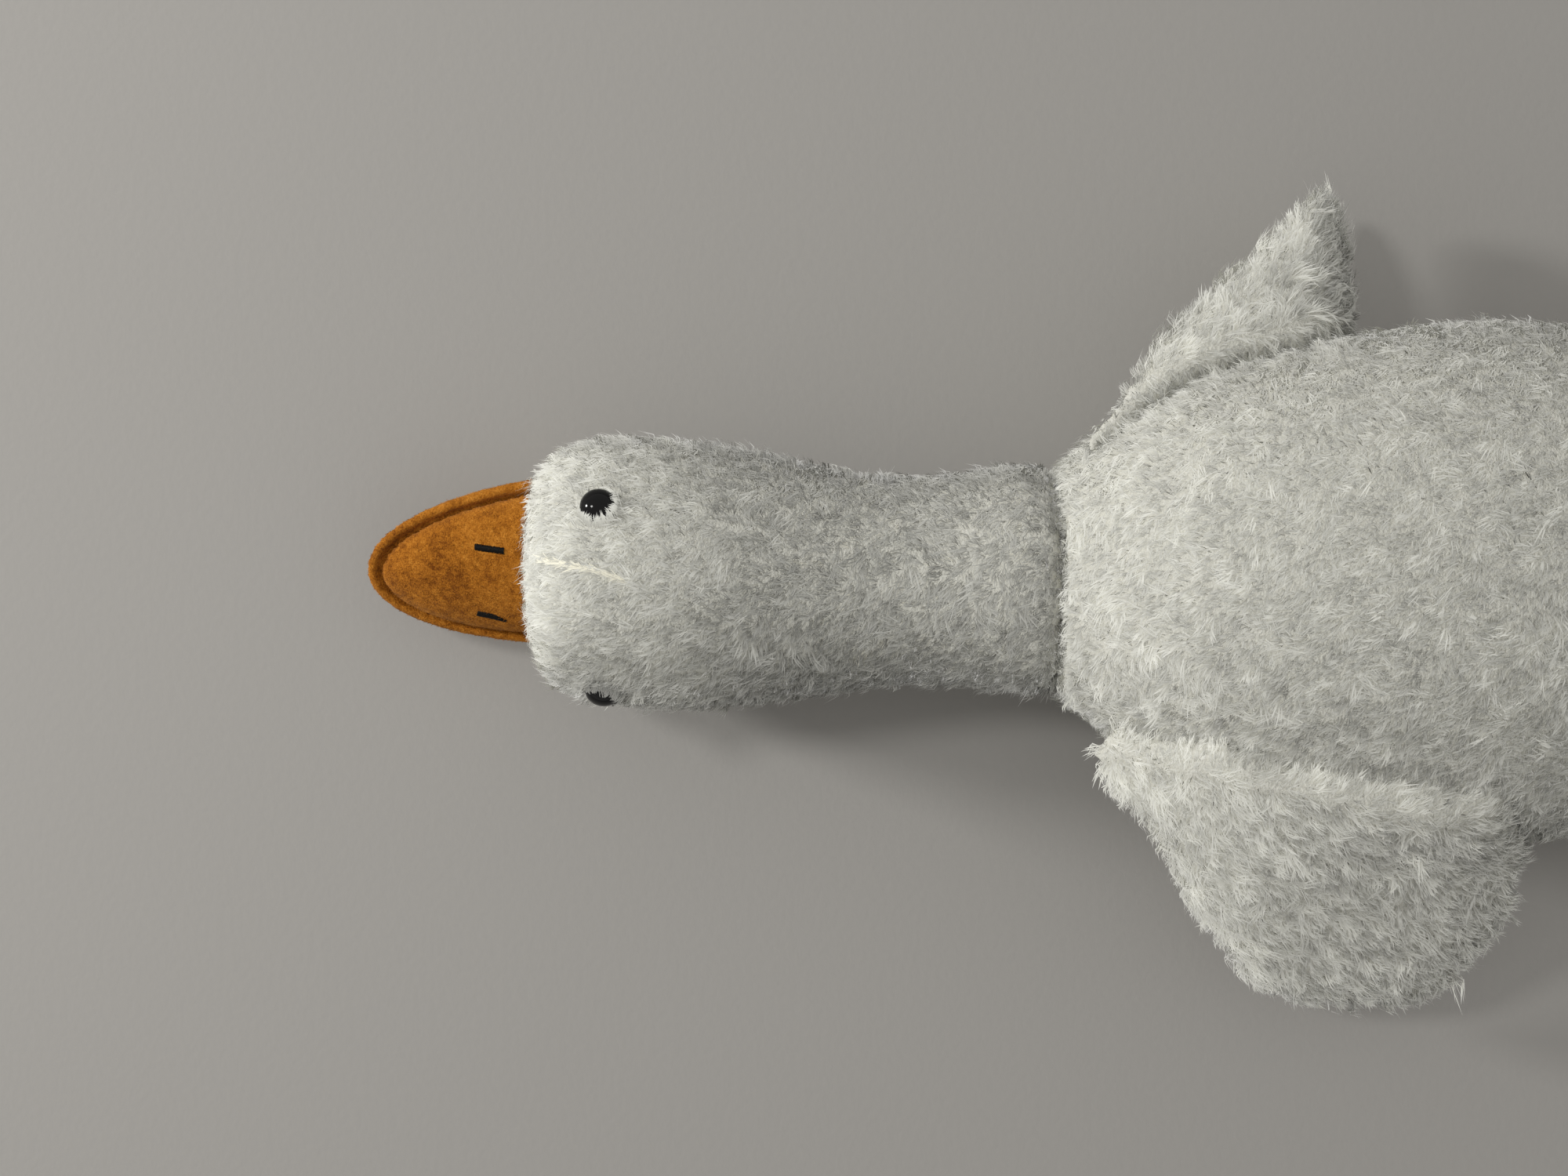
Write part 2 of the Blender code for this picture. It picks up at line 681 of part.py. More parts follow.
def right_wing_place(body, out, back):
    """The right wing lies flatter, and its back half bends down over a fold line."""
    across = RIGHT_SHOULDER * BODY_WIDTH / 2 + out
    height = (RIGHT_SHOULDER_HEIGHT - math.tan(RIGHT_DROOP) * out
              - front_drop(out, back, RIGHT_FRONT_DROOP))
    behind = back - (FOLD_BEHIND_SEAM + math.tan(FOLD_SLANT) * out)
    along = back
    drop = 0.0
    if behind > 0:
        turn = min(behind / FOLD_RADIUS, FOLD_ANGLE)
        straight = behind - turn * FOLD_RADIUS
        along = back - behind + FOLD_RADIUS * math.sin(turn) + straight * math.cos(turn)
        drop = FOLD_RADIUS * (1 - math.cos(turn)) + straight * math.sin(turn)
    return Vector((-across, -SEAM_FORWARD + along, height - drop))


def make_wing(side, body, neighbour_rooms):
    if side == "left":
        wing_place = left_wing_place
        outline, span, chord = LEFT_WING_OUTLINE, LEFT_WING_SPAN, LEFT_WING_CHORD
    else:
        wing_place = right_wing_place
        outline, span, chord = RIGHT_WING_OUTLINE, RIGHT_WING_SPAN, RIGHT_WING_CHORD
    corners = [Vector((out * span, back * chord)) for out, back in outline]

    def place(out, back):
        return wing_place(body, out, back)

    points, faces = pad_skin(closed_curve(corners, WING_SIDES), place, WING_THICKNESS / 2, WING_RINGS)
    piece = add_mesh("wing_" + side, points, faces, PLUSH_WHITE, 0.95)
    for room in neighbour_rooms:
        trim(piece, room)


def foot_outline():
    """The webbed outline with its three toes, from the heel at the origin along +Y."""
    half = [Vector((width * FOOT_WIDTH / 2, share * FOOT_LENGTH)) for share, width in FOOT_OUTLINE]
    mirrored = [Vector((-point.x, point.y)) for point in reversed(half[1:-1])]
    return closed_curve(half + mirrored, FOOT_SIDES)


def make_foot(side, body, body_room):
    """A flat webbed pad with two sewn toe channels; its heel rises to the seam under the body."""
    direction = 1 if side == "left" else -1
    turn = Matrix.Rotation(-direction * FOOT_SPLAY, 3, "Z")
    heel_back = FOOT_BACK * BODY_LENGTH
    underside = body.height_at(FOOT_SPACING / 2, heel_back, -1)
    heel_lift = underside + HEEL_BURY

    def toe_fullness(flat):
        share = min(max(flat.y / FOOT_LENGTH, 0.0), 1.0)
        channel = FOOT_WIDTH / 2 * TOE_CHANNEL_SPREAD * share
        nearest = abs(abs(flat.x) - channel)
        depth = TOE_CHANNEL_DEPTH * min(share * 2.0, 1.0)
        return 1 - depth * math.exp(-(nearest / TOE_CHANNEL_WIDTH) ** 2)

    def place(across, along):
        heel = max(0.0, 1 - along / (FOOT_LENGTH * HEEL_REACH))
        flat = turn @ Vector((across, along, 0.0))
        return Vector((direction * FOOT_SPACING / 2 + flat.x, -SEAM_FORWARD + heel_back + flat.y,
                       FLOOR + FOOT_THICKNESS / 2 + heel_lift * heel ** 2))

    points, faces = pad_skin(foot_outline(), place, FOOT_THICKNESS / 2, FOOT_RINGS, toe_fullness)
    piece = add_mesh("foot_" + side, points, faces, BEAK_ORANGE, 0.85)
    trim(piece, body_room)


def build_goose():
    remove_everything()
    body = body_form()
    head = head_form()
    points, faces = body.skin()
    add_mesh("body", points, faces, PLUSH_WHITE, 0.95)
    points, faces = head.skin()
    head_piece = add_mesh("head_and_neck", points, faces, PLUSH_WHITE, 0.95)
    body_room = add_mesh("body_room", *body.skin(SEAT_GAP))
    head_room = add_mesh("head_room", *head.skin(SEAT_GAP))
    frame = beak_frame()
    beak_room = add_mesh("beak_room", *upper_beak_skin(frame, SEAT_GAP))
    make_lower_beak(frame, head_room)
    make_upper_beak(frame, head_room)
    for side in ("left", "right"):
        make_eye(side, head, head_piece)
        make_nostril(side, frame, beak_room)
        make_wing(side, body, (body_room, head_room))
        make_foot(side, body, body_room)


build_goose()
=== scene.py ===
"""Plush goose lying on its belly: curly white pile, velour beak and feet, black button eyes.

Metres, +Z up, beak towards -Y, the goose's left wing towards +X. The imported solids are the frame.
Every soft solid is replaced by a stuffed skin of its own shape, set in by the depth of the pile,
and the pile is grown on that skin as short curly locks.
"""
import math

import bmesh
import bpy
import numpy as np
from mathutils import Matrix, Vector, noise
from mathutils.bvhtree import BVHTree


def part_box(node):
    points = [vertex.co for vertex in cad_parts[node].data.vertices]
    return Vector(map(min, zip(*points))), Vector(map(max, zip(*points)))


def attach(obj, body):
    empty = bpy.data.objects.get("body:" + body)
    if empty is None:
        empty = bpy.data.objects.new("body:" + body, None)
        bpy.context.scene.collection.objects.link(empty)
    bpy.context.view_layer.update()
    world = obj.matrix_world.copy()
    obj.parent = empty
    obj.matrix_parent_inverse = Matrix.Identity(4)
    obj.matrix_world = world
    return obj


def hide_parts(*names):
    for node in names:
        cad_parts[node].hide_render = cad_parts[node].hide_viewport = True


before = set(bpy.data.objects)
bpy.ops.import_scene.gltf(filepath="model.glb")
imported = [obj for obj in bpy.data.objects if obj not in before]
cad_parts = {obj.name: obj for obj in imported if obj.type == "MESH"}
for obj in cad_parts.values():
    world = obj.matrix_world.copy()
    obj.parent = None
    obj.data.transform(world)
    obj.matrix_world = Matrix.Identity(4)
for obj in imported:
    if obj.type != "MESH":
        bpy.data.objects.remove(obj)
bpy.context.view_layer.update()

# Pile: flat fibres in curly locks
PILE_DEPTH = 0.0036              # from the cover to the outside of the pile
WING_PILE_DEPTH = 0.0030
PRESSED_PILE_DEPTH = 0.0014      # under the belly, where the weight lies on it
FLOOR_GAP = 0.0003               # the pile stays above the floor by this
LOCK_KINDS = 10
LOCK = {"curled": 5, "straight": 6, "fibre_width": 0.00046, "width": 0.0026, "reach": 0.0050,
        "rise": 0.0037, "loose": 0.0012}
FIBRE_TAPER = (0.8, 1.0)         # a fibre's width at its root and halfway, before it runs out
LOCK_SPACING = 0.00172
LOCK_SWAY = {"Turn": 0.6, "Tilt": 0.22}
PILE_SEED = 11

# The lay of the pile
BACK_LAY = (0.55, -0.75, 0.0)
FACE_LAY = (0.0, -1.4, 0.0)
CROWN_LAY = (-0.26, -0.97, 0.0)  # along the crown seam
WING_LAY = (0.8, 0.9, -0.3)      # for the left wing, mirrored for the right one
LAY_WANDER = ((0.022, 3.0, 1.0), (0.0095, 6.0, 0.9))     # size, field and strength

# How white the pile is, from 0 for cream to 1. Part of it is painted light: the same fabric is set lighter or
# darker on each part to even out how the lamps fall on it, the left wing lightest
PILE_TONE_AND_PAINTED_LIGHT = {"body": 0.65, "head_and_neck": 0.71, "wing_left": 0.84, "wing_right": 0.66}
NECK_PAINTED_SHADE = 0.40                 # painted shade: how much greyer the pile of the neck is, where the head shades it from the lamps
SIDE_PAINTED_LIGHT = 0.14                 # painted light: how much whiter the pile is where the cover faces sideways
# painted light: how much whiter a wing's pile is towards its tip
WING_TIP_PAINTED_LIGHT = 0.14
TUFT_SIZE = 0.0068               # neighbouring locks that stand up together
# painted light and shade: how much whiter the tufts that stand up together are, and darker the ones between
TUFT_PAINTED_LIGHT_AND_SHADE = 0.34
TUFT_LENGTH = 0.30
TUFT_RELIEF = 0.62               # how far a tuft's sides turn to and from the light

# Seams, where the pile is short and its creamy backing shows. In the crease beside a wing the lower tone is
# also painted shade
CROWN_SEAM = ((-0.0085, -0.3965), (-0.0075, -0.3905), (-0.0045, -0.3755), (0.0005, -0.3620))
CROWN_SEAM_TONE = 0.20
NECK_SEAM_TONE = 0.06
# cream and painted shade: how much lower the tone is in the crease beside each wing
CREASE_CREAM_AND_SHADE = {"wing_left": 0.06, "wing_right": 0.62}
CREASE_ON_BODY = {"wing_left": 0.9, "wing_right": 0.3}   # how much of it the body's side has
SEWN_LENGTH = 0.1                # how much shorter the pile is at a seam

# Spans over which the pile changes, in metres if nothing else is said
FACE_SPAN = (-0.20, -0.13)       # along Y from the neck seam, as the next one
NECK_SPAN = (-0.19, -0.11)
REAR_SPAN = (-0.02, 0.08)        # along Y
BEAK_EDGE_SPAN = (0.0008, 0.0022)
EYE_SPAN = (0.012, 0.015)
EYE_RIM_SPAN = (0.88, 1.02)      # in radii of the eye
EYE_LEAN_SPAN = (0.009, 0.013)
NECK_SEAM_SPAN = (0.0012, 0.0045)
CROWN_SEAM_SPAN = (0.0012, 0.0028)
CROWN_PARTING_SPAN = (0.003, 0.007)
WING_SEWN_SPAN = (0.004, 0.011)
WING_CREAM_AND_SHADE_SPAN = {"wing_left": WING_SEWN_SPAN, "wing_right": (0.002, 0.0065)}
CREASE_END_SPAN = (-0.20, -0.16)     # along Y
WING_TIP_SPAN = (0.09, 0.16)     # along X
BODY_SEWN_SPAN = (0.002, 0.007)

# The strand map, on which each fibre has its tone across and its height along
TONE_START = 0.15
TONE_SPAN = 0.70
TONE_HALF_WIDTH = 0.01
MAP_MARGIN = 0.03

# Covers: cloth puffed by its filling
COVER_FLOOR_GAP = 0.0002         # the covers stay above the floor by this
COVER_VOXEL = 0.0056
PAD_VOXEL = 0.0013
FOOT_VOXEL = 0.0020
PAD_INSET = 0.0005
PUFF_FRAMES = 20
PUFF_PRESSURE = 4.0
COVER_PUFF_LIMIT = 0.0025
PAD_PUFF_LIMIT = 0.0009
SEAM_BAND = 0.008                # beside the neck seam, where both covers keep their place
BELLY_SPAN = (0.003, 0.012)      # the height over which the pile changes from pressed to free
CREASE_REACH = 0.0035            # how near to the body a wing's inner face is set in further
CREASE_ROOM = 0.002

# Beak and feet: short brushed velour
NAP = {"curled": 0, "straight": 3, "fibre_width": 0.00030, "width": 0.0010, "reach": 0.0009,
       "rise": 0.0008, "loose": 0.00025}
NAP_SPACING = {"beak": 0.00085, "foot": 0.00125}
NAP_SWAY = {"Turn": 0.7, "Tilt": 0.25}
NAP_TONE = 0.62
NAP_BLOTCHES = ((0.016, 17.0, 0.26), (0.0034, 5.0, 0.85), (0.0018, 8.0, 0.60))   # size, field and strength
NAP_SEED = 5
PAD_SEAM_PAINTED_SHADE = 0.60             # painted shade: how much deeper the orange is in the groove where the two pads meet
PAD_SEAM_SPAN = (0.0012, 0.0034)
DENT_SHADE_SPOT = (0.0005, -0.4560)     # painted shade: where a darker patch on the beak stands in for the shade of a dent in the pad
DENT_SHADE_REACH = 0.021
DENT_SHADE_LENGTH = 1.5             # how much longer than wide that place is
# painted shade: how much darker the nap is in that patch
DENT_PAINTED_SHADE = 0.40

# Nostrils: satin stitch
THREAD_DIAMETER = 0.00042
THREAD_PITCH = 0.00034
THREAD_STATIONS = 7
STITCH_PROBES = 41               # tries across the bar to find its edges
STITCH_PROBE_REACH = 0.0045
STITCH_PROBE_HEIGHT = 0.01
STITCH_OVERLAP = 0.0003          # how much wider than the bar the stitches are
STITCH_RISE = 0.0009
STITCH_SINK = 0.0002             # how deep a stitch's ends go into the velour
STITCH_SLANT = 0.0003
STITCH_LOOSE = 0.00012
STITCH_SEED = 31
TAPER_START = 0.55               # where along the left bar its stitches grow short
TAPER = 0.75

# Eyes
EYE_SIDES = 64
EYE_DOME_ROWS = 16
EYE_EDGE = 0.0005                # the rolled edge of the dome
EYE_BACK = 0.0004                # how far the flat back is behind the edge
EYE_STEM_RADIUS = 0.0021
EYE_STEM_LENGTH = 0.014

# Single strands: the pile that leans over an eye, and the ridge of the crown seam
STRAND_STATIONS = 5
FRINGE = {"tufts": 74, "strands": 6, "width": 0.00026, "half_turn": 120.0, "reach": 0.0030,
          "tone": 0.86, "tones": 0.12, "loose": 0.12, "bent": 0.16, "root": 0.0030, "seed": 71}
RIDGE = {"step": 0.00036, "strands": 2, "width": 0.00036, "band": 0.0009, "length": 0.0034,
         "loose": 0.30, "tone": 0.08, "seed": 73}
RIDGE_PROBE_HEIGHT = 0.12        # above the whole head
RIDGE_RISE = ((0.0, 0.5), (0.35, 1.10), (0.75, 1.18), (1.0, 1.04))   # along a strand, in depths of pile

# Colours as linear light
PILE_TIP = (0.935, 0.94, 0.895)
PILE_MIDDLE = (0.775, 0.775, 0.72)
# the root's darkness is painted shade, standing in for the shadows that the pile doesn't cast
PILE_ROOT_PAINTED_SHADE = (0.60, 0.59, 0.53)
PILE_CREAM = (0.90, 0.875, 0.75)
VELOUR_ORANGE = (0.43, 0.152, 0.014)
VELOUR_PALE = (0.66, 0.275, 0.040)
VELOUR_DEEP = (0.17, 0.048, 0.004)
VELOUR_SHEEN = (1.0, 0.62, 0.32)
EYE_BLACK = (0.003, 0.003, 0.0035)
THREAD_BLACK = (0.003, 0.0028, 0.0028)
# painted shine: the paler flecks of the thread's twist
THREAD_PAINTED_SHINE = (0.009, 0.008, 0.007)
WASHER_WHITE = (0.78, 0.78, 0.76)
WASHER_GREY = (0.70, 0.70, 0.68)
FLOOR_GREY = (0.400, 0.389, 0.372)
FLOOR_PALE = (0.46, 0.435, 0.405)

# Light: two soft lamps beyond the beak and an even pale room. Turns and heights are degrees
HIGH_LAMP = {"turn": 22, "height": 50, "distance": 2.4, "size": 0.42, "energy": 13.0}
LOW_LAMP = {"turn": 15, "height": 19, "distance": 2.6, "size": 0.45, "energy": 37.0}
LAMP_COLOUR = (1.0, 0.99, 0.965)
LIT_SPOT = (0.0, -0.25, 0.05)
ROOM_COLOUR = (1.0, 0.985, 0.955)
ROOM_STRENGTH = 0.41
BACKDROP_COLOUR = (0.62, 0.60, 0.575)
FLOOR_SIZE = 6.0

# Camera: straight above the neck, the goose's left wing at the bottom of the picture
CAMERA_PLACE = (0.00315, -0.29575, 1.16)
CAMERA_LENS = 56.57
SENSOR_WIDTH = 36.0

FURRY = ("body", "head_and_neck", "wing_left", "wing_right")
PATCHES = (                      # a cover's pile, split across Y so that no piece is too heavy
    ("head_pile", "head_and_neck", -1.0, -0.315),
    ("neck_pile", "head_and_neck", -0.315, 1.0),
    ("breast_pile", "body", -1.0, -0.085),
    ("back_pile", "body", -0.085, 0.035),
    ("tail_pile", "body", 0.035, 1.0),
    ("wing_left_pile", "wing_left", -1.0, 1.0),
    ("wing_right_pile", "wing_right", -1.0, 1.0),
)
PADS = ("beak_upper", "beak_lower", "foot_left", "foot_right")
OUTWARDS = {"wing_left": 1.0, "wing_right": -1.0}        # along X
SEAM_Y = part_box("body")[0].y     # the plane of the neck seam
noise.seed_set(PILE_SEED)        # the same noise in each run


class Number:
    """A number socket of a node tree. Python's operators on it add Math nodes."""

    def __init__(self, tree, socket):
        self.tree = tree
        self.socket = socket

    def _math(self, operation, first, second):
        return self.tree.number("ShaderNodeMath", {"operation": operation}, {0: first, 1: second})

    def __add__(self, other):
        return self._math("ADD", self, other)

    def __sub__(self, other):
        return self._math("SUBTRACT", self, other)

    def __rsub__(self, other):
        return self._math("SUBTRACT", other, self)

    def __mul__(self, other):
        return self._math("MULTIPLY", self, other)

    def __truediv__(self, other):
        return self._math("DIVIDE", self, other)

    def __rtruediv__(self, other):
        return self._math("DIVIDE", other, self)

    def __pow__(self, other):
        return self._math("POWER", self, other)

    def at_least(self, other):
        return self._math("MAXIMUM", self, other)

    def at_most(self, other):
        return self._math("MINIMUM", self, other)

    def clipped(self):
        return self.at_least(0.0).at_most(1.0)

    __radd__ = __add__
    __rmul__ = __mul__


class Tree:
    """A node tree under construction, for a material or for geometry."""

    def __init__(self, tree):
        self.tree = tree

    def node(self, kind, settings=None, inputs=None):
        """A node of a type, with its settings, a ramp's stops among them, and its sockets."""
        made = self.tree.nodes.new(kind)
        settings = dict(settings or {})
        stops = settings.pop("stops", ())
        for name, value in settings.items():
            setattr(made, name, value)
        for index, (place, colour) in enumerate(stops):
            if index > 1:
                made.color_ramp.elements.new(place)
            made.color_ramp.elements[index].position = place
            made.color_ramp.elements[index].color = (*colour, 1.0)
        for key, value in (inputs or {}).items():
            self.plug(made.inputs[key], value)
        return made

    def plug(self, socket, value):
        if isinstance(value, Number):
            value = value.socket
        if isinstance(value, bpy.types.NodeSocket):
            self.tree.links.new(value, socket)
        elif isinstance(value, tuple) and socket.type == "RGBA":
            socket.default_value = (*value, 1.0)
        else:
            socket.default_value = value

    def out(self, kind, settings=None, inputs=None, name=None):
        """The socket that a new node gives: the named one, or the first that is in use."""
        made = self.node(kind, settings, inputs)
        if name:
            return made.outputs[name]
        return next(socket for socket in made.outputs if socket.enabled)

    def number(self, kind, settings=None, inputs=None, name=None):
        return Number(self, self.out(kind, settings, inputs, name))

    def mix(self, share, first, second):
        """Two colours mixed by a share."""
        return self.out("ShaderNodeMix", {"data_type": "RGBA"}, {0: share, 6: first, 7: second}, "Result")


class Finish(Tree):
    """A material under construction."""

    def __init__(self, name):
        self.material = bpy.data.materials.new(name)
        self.material.use_nodes = True
        super().__init__(self.material.node_tree)
        self.tree.nodes.clear()
        self.place = self.out("ShaderNodeTexCoord", name="Object")

    def noise(self, scale, detail=2.0, roughness=0.5, place=None):
        inputs = {"Vector": place or self.place, "Scale": scale, "Detail": detail, "Roughness": roughness}
        return self.number("ShaderNodeTexNoise", None, inputs, "Fac")

    def ramp(self, share, *stops):
        return self.out("ShaderNodeValToRGB", {"stops": stops}, {"Fac": share}, "Color")

    def bump(self, height, depth, strength=1.0):
        return self.out("ShaderNodeBump", None, {"Height": height, "Distance": depth, "Strength": strength})

    def strand(self):
        """A fibre's tone, and how far up the fibre a place is, from the strand map."""
        spot = self.out("ShaderNodeUVMap", {"uv_map": "OFBake"}, name="UV")
        parts = self.node("ShaderNodeSeparateXYZ", None, {0: spot})
        return (Number(self, parts.outputs["X"]) - TONE_START) / TONE_SPAN, Number(self, parts.outputs["Y"])

    def surface(self, colour, roughness, **sockets):
        """The Principled surface and its output. Names in sockets have _ for a space."""
        inputs = {"Base Color": colour, "Roughness": roughness}
        inputs.update({name.replace("_", " "): value for name, value in sockets.items()})
        shader = self.out("ShaderNodeBsdfPrincipled", None, inputs)
        self.node("ShaderNodeOutputMaterial", None, {"Surface": shader})
        return self.material


def pile_finish():
    """White fibres: darker at the root as painted shade for the shadows that the pile doesn't cast, brighter
    at the tip, each lock of its own tone.
    """
    finish = Finish("curly_white_pile")
    tone, height = finish.strand()
    white = finish.ramp(height, (0.0, PILE_ROOT_PAINTED_SHADE), (0.55, PILE_MIDDLE), (1.0, PILE_TIP))
    shade = (0.30 + tone * 0.72).at_least(0.2).at_most(1.0)
    level = finish.out("ShaderNodeCombineXYZ", None, {"X": shade, "Y": shade, "Z": shade})
    shaded = finish.out("ShaderNodeVectorMath", {"operation": "MULTIPLY"}, {0: white, 1: level})
    colour = finish.mix((tone * 12.0 - 0.4).clipped(), PILE_CREAM, shaded)
    return finish.surface(colour, 0.85, Specular_IOR_Level=0.15, Sheen_Weight=0.45, Sheen_Roughness=0.5)


def cover_finish():
    """The knitted backing that the pile stands on, seen only between the locks, and dark there as painted
    shade of the depth under the pile.
    """
    finish = Finish("pile_backing")
    grain = finish.noise(900.0, 3.0)
    colour = finish.ramp(grain, (0.25, PILE_ROOT_PAINTED_SHADE), (0.75, PILE_MIDDLE))
    normal = finish.bump(grain, 0.0006)
    return finish.surface(colour, 0.9, Specular_IOR_Level=0.1, Normal=normal)


def velour_finish(name):
    """Brushed short nap: fine grain, soft blotches where the nap leans another way, and a darker patch of
    painted shade for a dent in the pad.
    """
    finish = Finish(name)
    blotches = finish.noise(60.0, 2.0, 0.5)
    mottling = finish.noise(330.0, 2.0, 0.6)
    grain = finish.noise(1300.0, 2.0, 0.7)
    shorter = 0.67
    flat = finish.out("ShaderNodeVectorMath", {"operation": "MULTIPLY"},
                      {0: finish.place, 1: (1.0, shorter, 0.0)})
    spot = (DENT_SHADE_SPOT[0], DENT_SHADE_SPOT[1] * shorter, 0.0)
    away = finish.number("ShaderNodeVectorMath", {"operation": "DISTANCE"}, {0: flat, 1: spot}, "Value")
    # Painted shade: darker in a patch that stands in for the shade of a dent.
    dent_shade = (1.0 - away / (DENT_SHADE_REACH * 1.6)).clipped()
    blend = blotches * 0.26 + mottling * 0.36 + grain * 0.38 - dent_shade * 0.085
    colour = finish.ramp(blend, (0.34, VELOUR_DEEP), (0.49, VELOUR_ORANGE), (0.66, VELOUR_PALE))
    normal = finish.bump(grain, 0.0007, 0.9)
    return finish.surface(colour, 0.9, Specular_IOR_Level=0.08, Sheen_Weight=0.18,
                          Sheen_Roughness=0.5, Sheen_Tint=VELOUR_SHEEN, Normal=normal)


def nap_finish():
    """Orange nap: fibres dark at the root, each of its own tone."""
    finish = Finish("velour_nap")
    tone, height = finish.strand()
    blend = tone * 0.75 + height * 0.30
    colour = finish.ramp(blend, (0.15, VELOUR_DEEP), (0.52, VELOUR_ORANGE), (0.95, VELOUR_PALE))
    return finish.surface(colour, 0.9, Specular_IOR_Level=0.08, Sheen_Weight=0.2, Sheen_Roughness=0.5,
                          Sheen_Tint=VELOUR_SHEEN)


def eye_finish():
    """Polished black plastic with the faintest handling marks."""
    finish = Finish("polished_button")
    haze = finish.noise(260.0, 4.0)
    return finish.surface(EYE_BLACK, 0.06 + haze * 0.05, Specular_IOR_Level=0.24)


def thread_finish():
    """Black embroidery thread with a soft shine; the paler flecks of its twist are painted shine."""
    finish = Finish("satin_thread")
    twist = finish.noise(5200.0, 1.0)
    colour = finish.ramp(twist, (0.3, THREAD_BLACK), (0.8, THREAD_PAINTED_SHINE))
    return finish.surface(colour, 0.5, Specular_IOR_Level=0.14, Normal=finish.bump(twist, 0.0001))


def washer_finish():
    """Moulded white plastic."""
    finish = Finish("moulded_washer")
    grain = finish.noise(1400.0, 3.0)
    colour = finish.ramp(grain, (0.2, WASHER_GREY), (0.8, WASHER_WHITE))
    return finish.surface(colour, 0.45 + grain * 0.1, Normal=finish.bump(grain, 0.0001))


def floor_finish():
    """Plain pale grey with the faintest grain."""
    finish = Finish("pale_floor")
    grain = finish.noise(260.0, 3.0)
    colour = finish.mix(grain * 0.25, FLOOR_GREY, FLOOR_PALE)
    return finish.surface(colour, 0.9, Specular_IOR_Level=0.1, Normal=finish.bump(grain, 0.0004, 0.25))


def linked(name, data):
    piece = bpy.data.objects.new(name, data)
    bpy.context.scene.collection.objects.link(piece)
    return piece


def mesh_from(name, points, faces, edges=()):
    mesh = bpy.data.meshes.new(name)
    mesh.from_pydata([tuple(point) for point in points], list(edges), faces)
    mesh.update()
    return mesh


def places(mesh):
    """The mesh's points as rows of an array."""
    flat = np.empty(len(mesh.vertices) * 3, np.float32)
    mesh.vertices.foreach_get("co", flat)
    return flat.reshape(-1, 3).astype(float)


def move_to(mesh, points):
    mesh.vertices.foreach_set("co", np.asarray(points, np.float32).ravel())
    mesh.update()


def normals(mesh):
    flat = np.empty(len(mesh.vertices) * 3, np.float32)
    mesh.vertex_normals.foreach_get("vector", flat)
    return flat.reshape(-1, 3).astype(float)


def evaluated_mesh(piece):
    """The piece as its modifiers leave it, as a mesh of its own."""
    bpy.context.view_layer.update()
    graph = bpy.context.evaluated_depsgraph_get()
    shown = piece.evaluated_get(graph)
    return bpy.data.meshes.new_from_object(shown, preserve_all_data_layers=True, depsgraph=graph)


def settle(piece):
    """Makes the piece's modifiers part of its mesh."""
    mesh = evaluated_mesh(piece)
    piece.modifiers.clear()
    piece.data = mesh
    return mesh


def solid_copy(node, name):
    """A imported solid's mesh as a new piece, its loose triangles merged."""
    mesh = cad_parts[node].data.copy()
    mesh.name = name
    mesh.materials.clear()
    work = bmesh.new()
    work.from_mesh(mesh)
    bmesh.ops.remove_doubles(work, verts=work.verts, dist=1e-6)
    work.to_mesh(mesh)
    work.free()
    return linked(name, mesh)


def surface_of(node):
    """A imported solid's surface, for distances to it."""
    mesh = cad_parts[node].data
    return BVHTree.FromPolygons([v.co for v in mesh.vertices], [p.vertices for p in mesh.polygons])


def distances(points, surface, reach):
    """How far each point is from a surface, at most reach."""
    found = np.full(len(points), reach)
    for index, point in enumerate(points):
        near = surface.find_nearest(point, reach)
        if near[0] is not None:
            found[index] = near[3]
    return found


def smooth_step(values, low, high):
    """0 up to low, 1 from high on."""
    share = np.clip((values - low) / (high - low), 0.0, 1.0)
    return share * share * (3 - 2 * share)


def fade(values, near, far):
    """1 up to near, 0 from far on."""
    return 1 - smooth_step(values, near, far)


def wander(points, size, field):
    """Smooth random vectors over space that change over a size. Each field is another one."""
    return np.array([noise.noise_vector(Vector(point) / size + Vector((field, 0, 0))) for point in points])


def add_voxels(piece, voxel):
    """Makes the skin of a piece one closed even grid."""
    remesh = piece.modifiers.new("voxels", "REMESH")
    remesh.mode = "VOXEL"
    remesh.voxel_size = voxel
    remesh.use_smooth_shade = True


def smoothed(piece, repeats):
    smooth = piece.modifiers.new("smooth", "SMOOTH")
    smooth.factor = 0.5
    smooth.iterations = repeats


def cover_inset(name, points, directions):
    """How far each point of a furry solid moves to lie under its pile."""
    depth = WING_PILE_DEPTH if name.startswith("wing") else PILE_DEPTH
    pressed = smooth_step(-directions[:, 2], 0.75, 0.97) * fade(points[:, 2], *BELLY_SPAN)
    inset = depth + (PRESSED_PILE_DEPTH - depth) * pressed
    moves = -directions * inset[:, None]
    if name in ("body", "head_and_neck"):
        beside = np.abs(points[:, 1] - SEAM_Y)
        moves[:, 1] *= smooth_step(beside, 0.5 * SEAM_BAND, SEAM_BAND)
    if name == "head_and_neck":
        for node in ("beak_upper", "beak_lower"):
            moves *= smooth_step(distances(points, surface_of(node), 0.01), 0.001, 0.005)[:, None]
        for side in ("left", "right"):
            near = distances(points, surface_of("eye_" + side), 0.01)
            moves *= (0.35 + 0.65 * smooth_step(near, 0.0005, 0.004))[:, None]
    if name.startswith("wing"):
        body = surface_of("body")
        for index, point in enumerate(points):
            near, normal, _, _ = body.find_nearest(point, CREASE_REACH)
            if near is not None and Vector(directions[index]).dot(normal) < -0.3:
                moves[index] = -np.array(normal) * (PILE_DEPTH + CREASE_ROOM)
    return moves


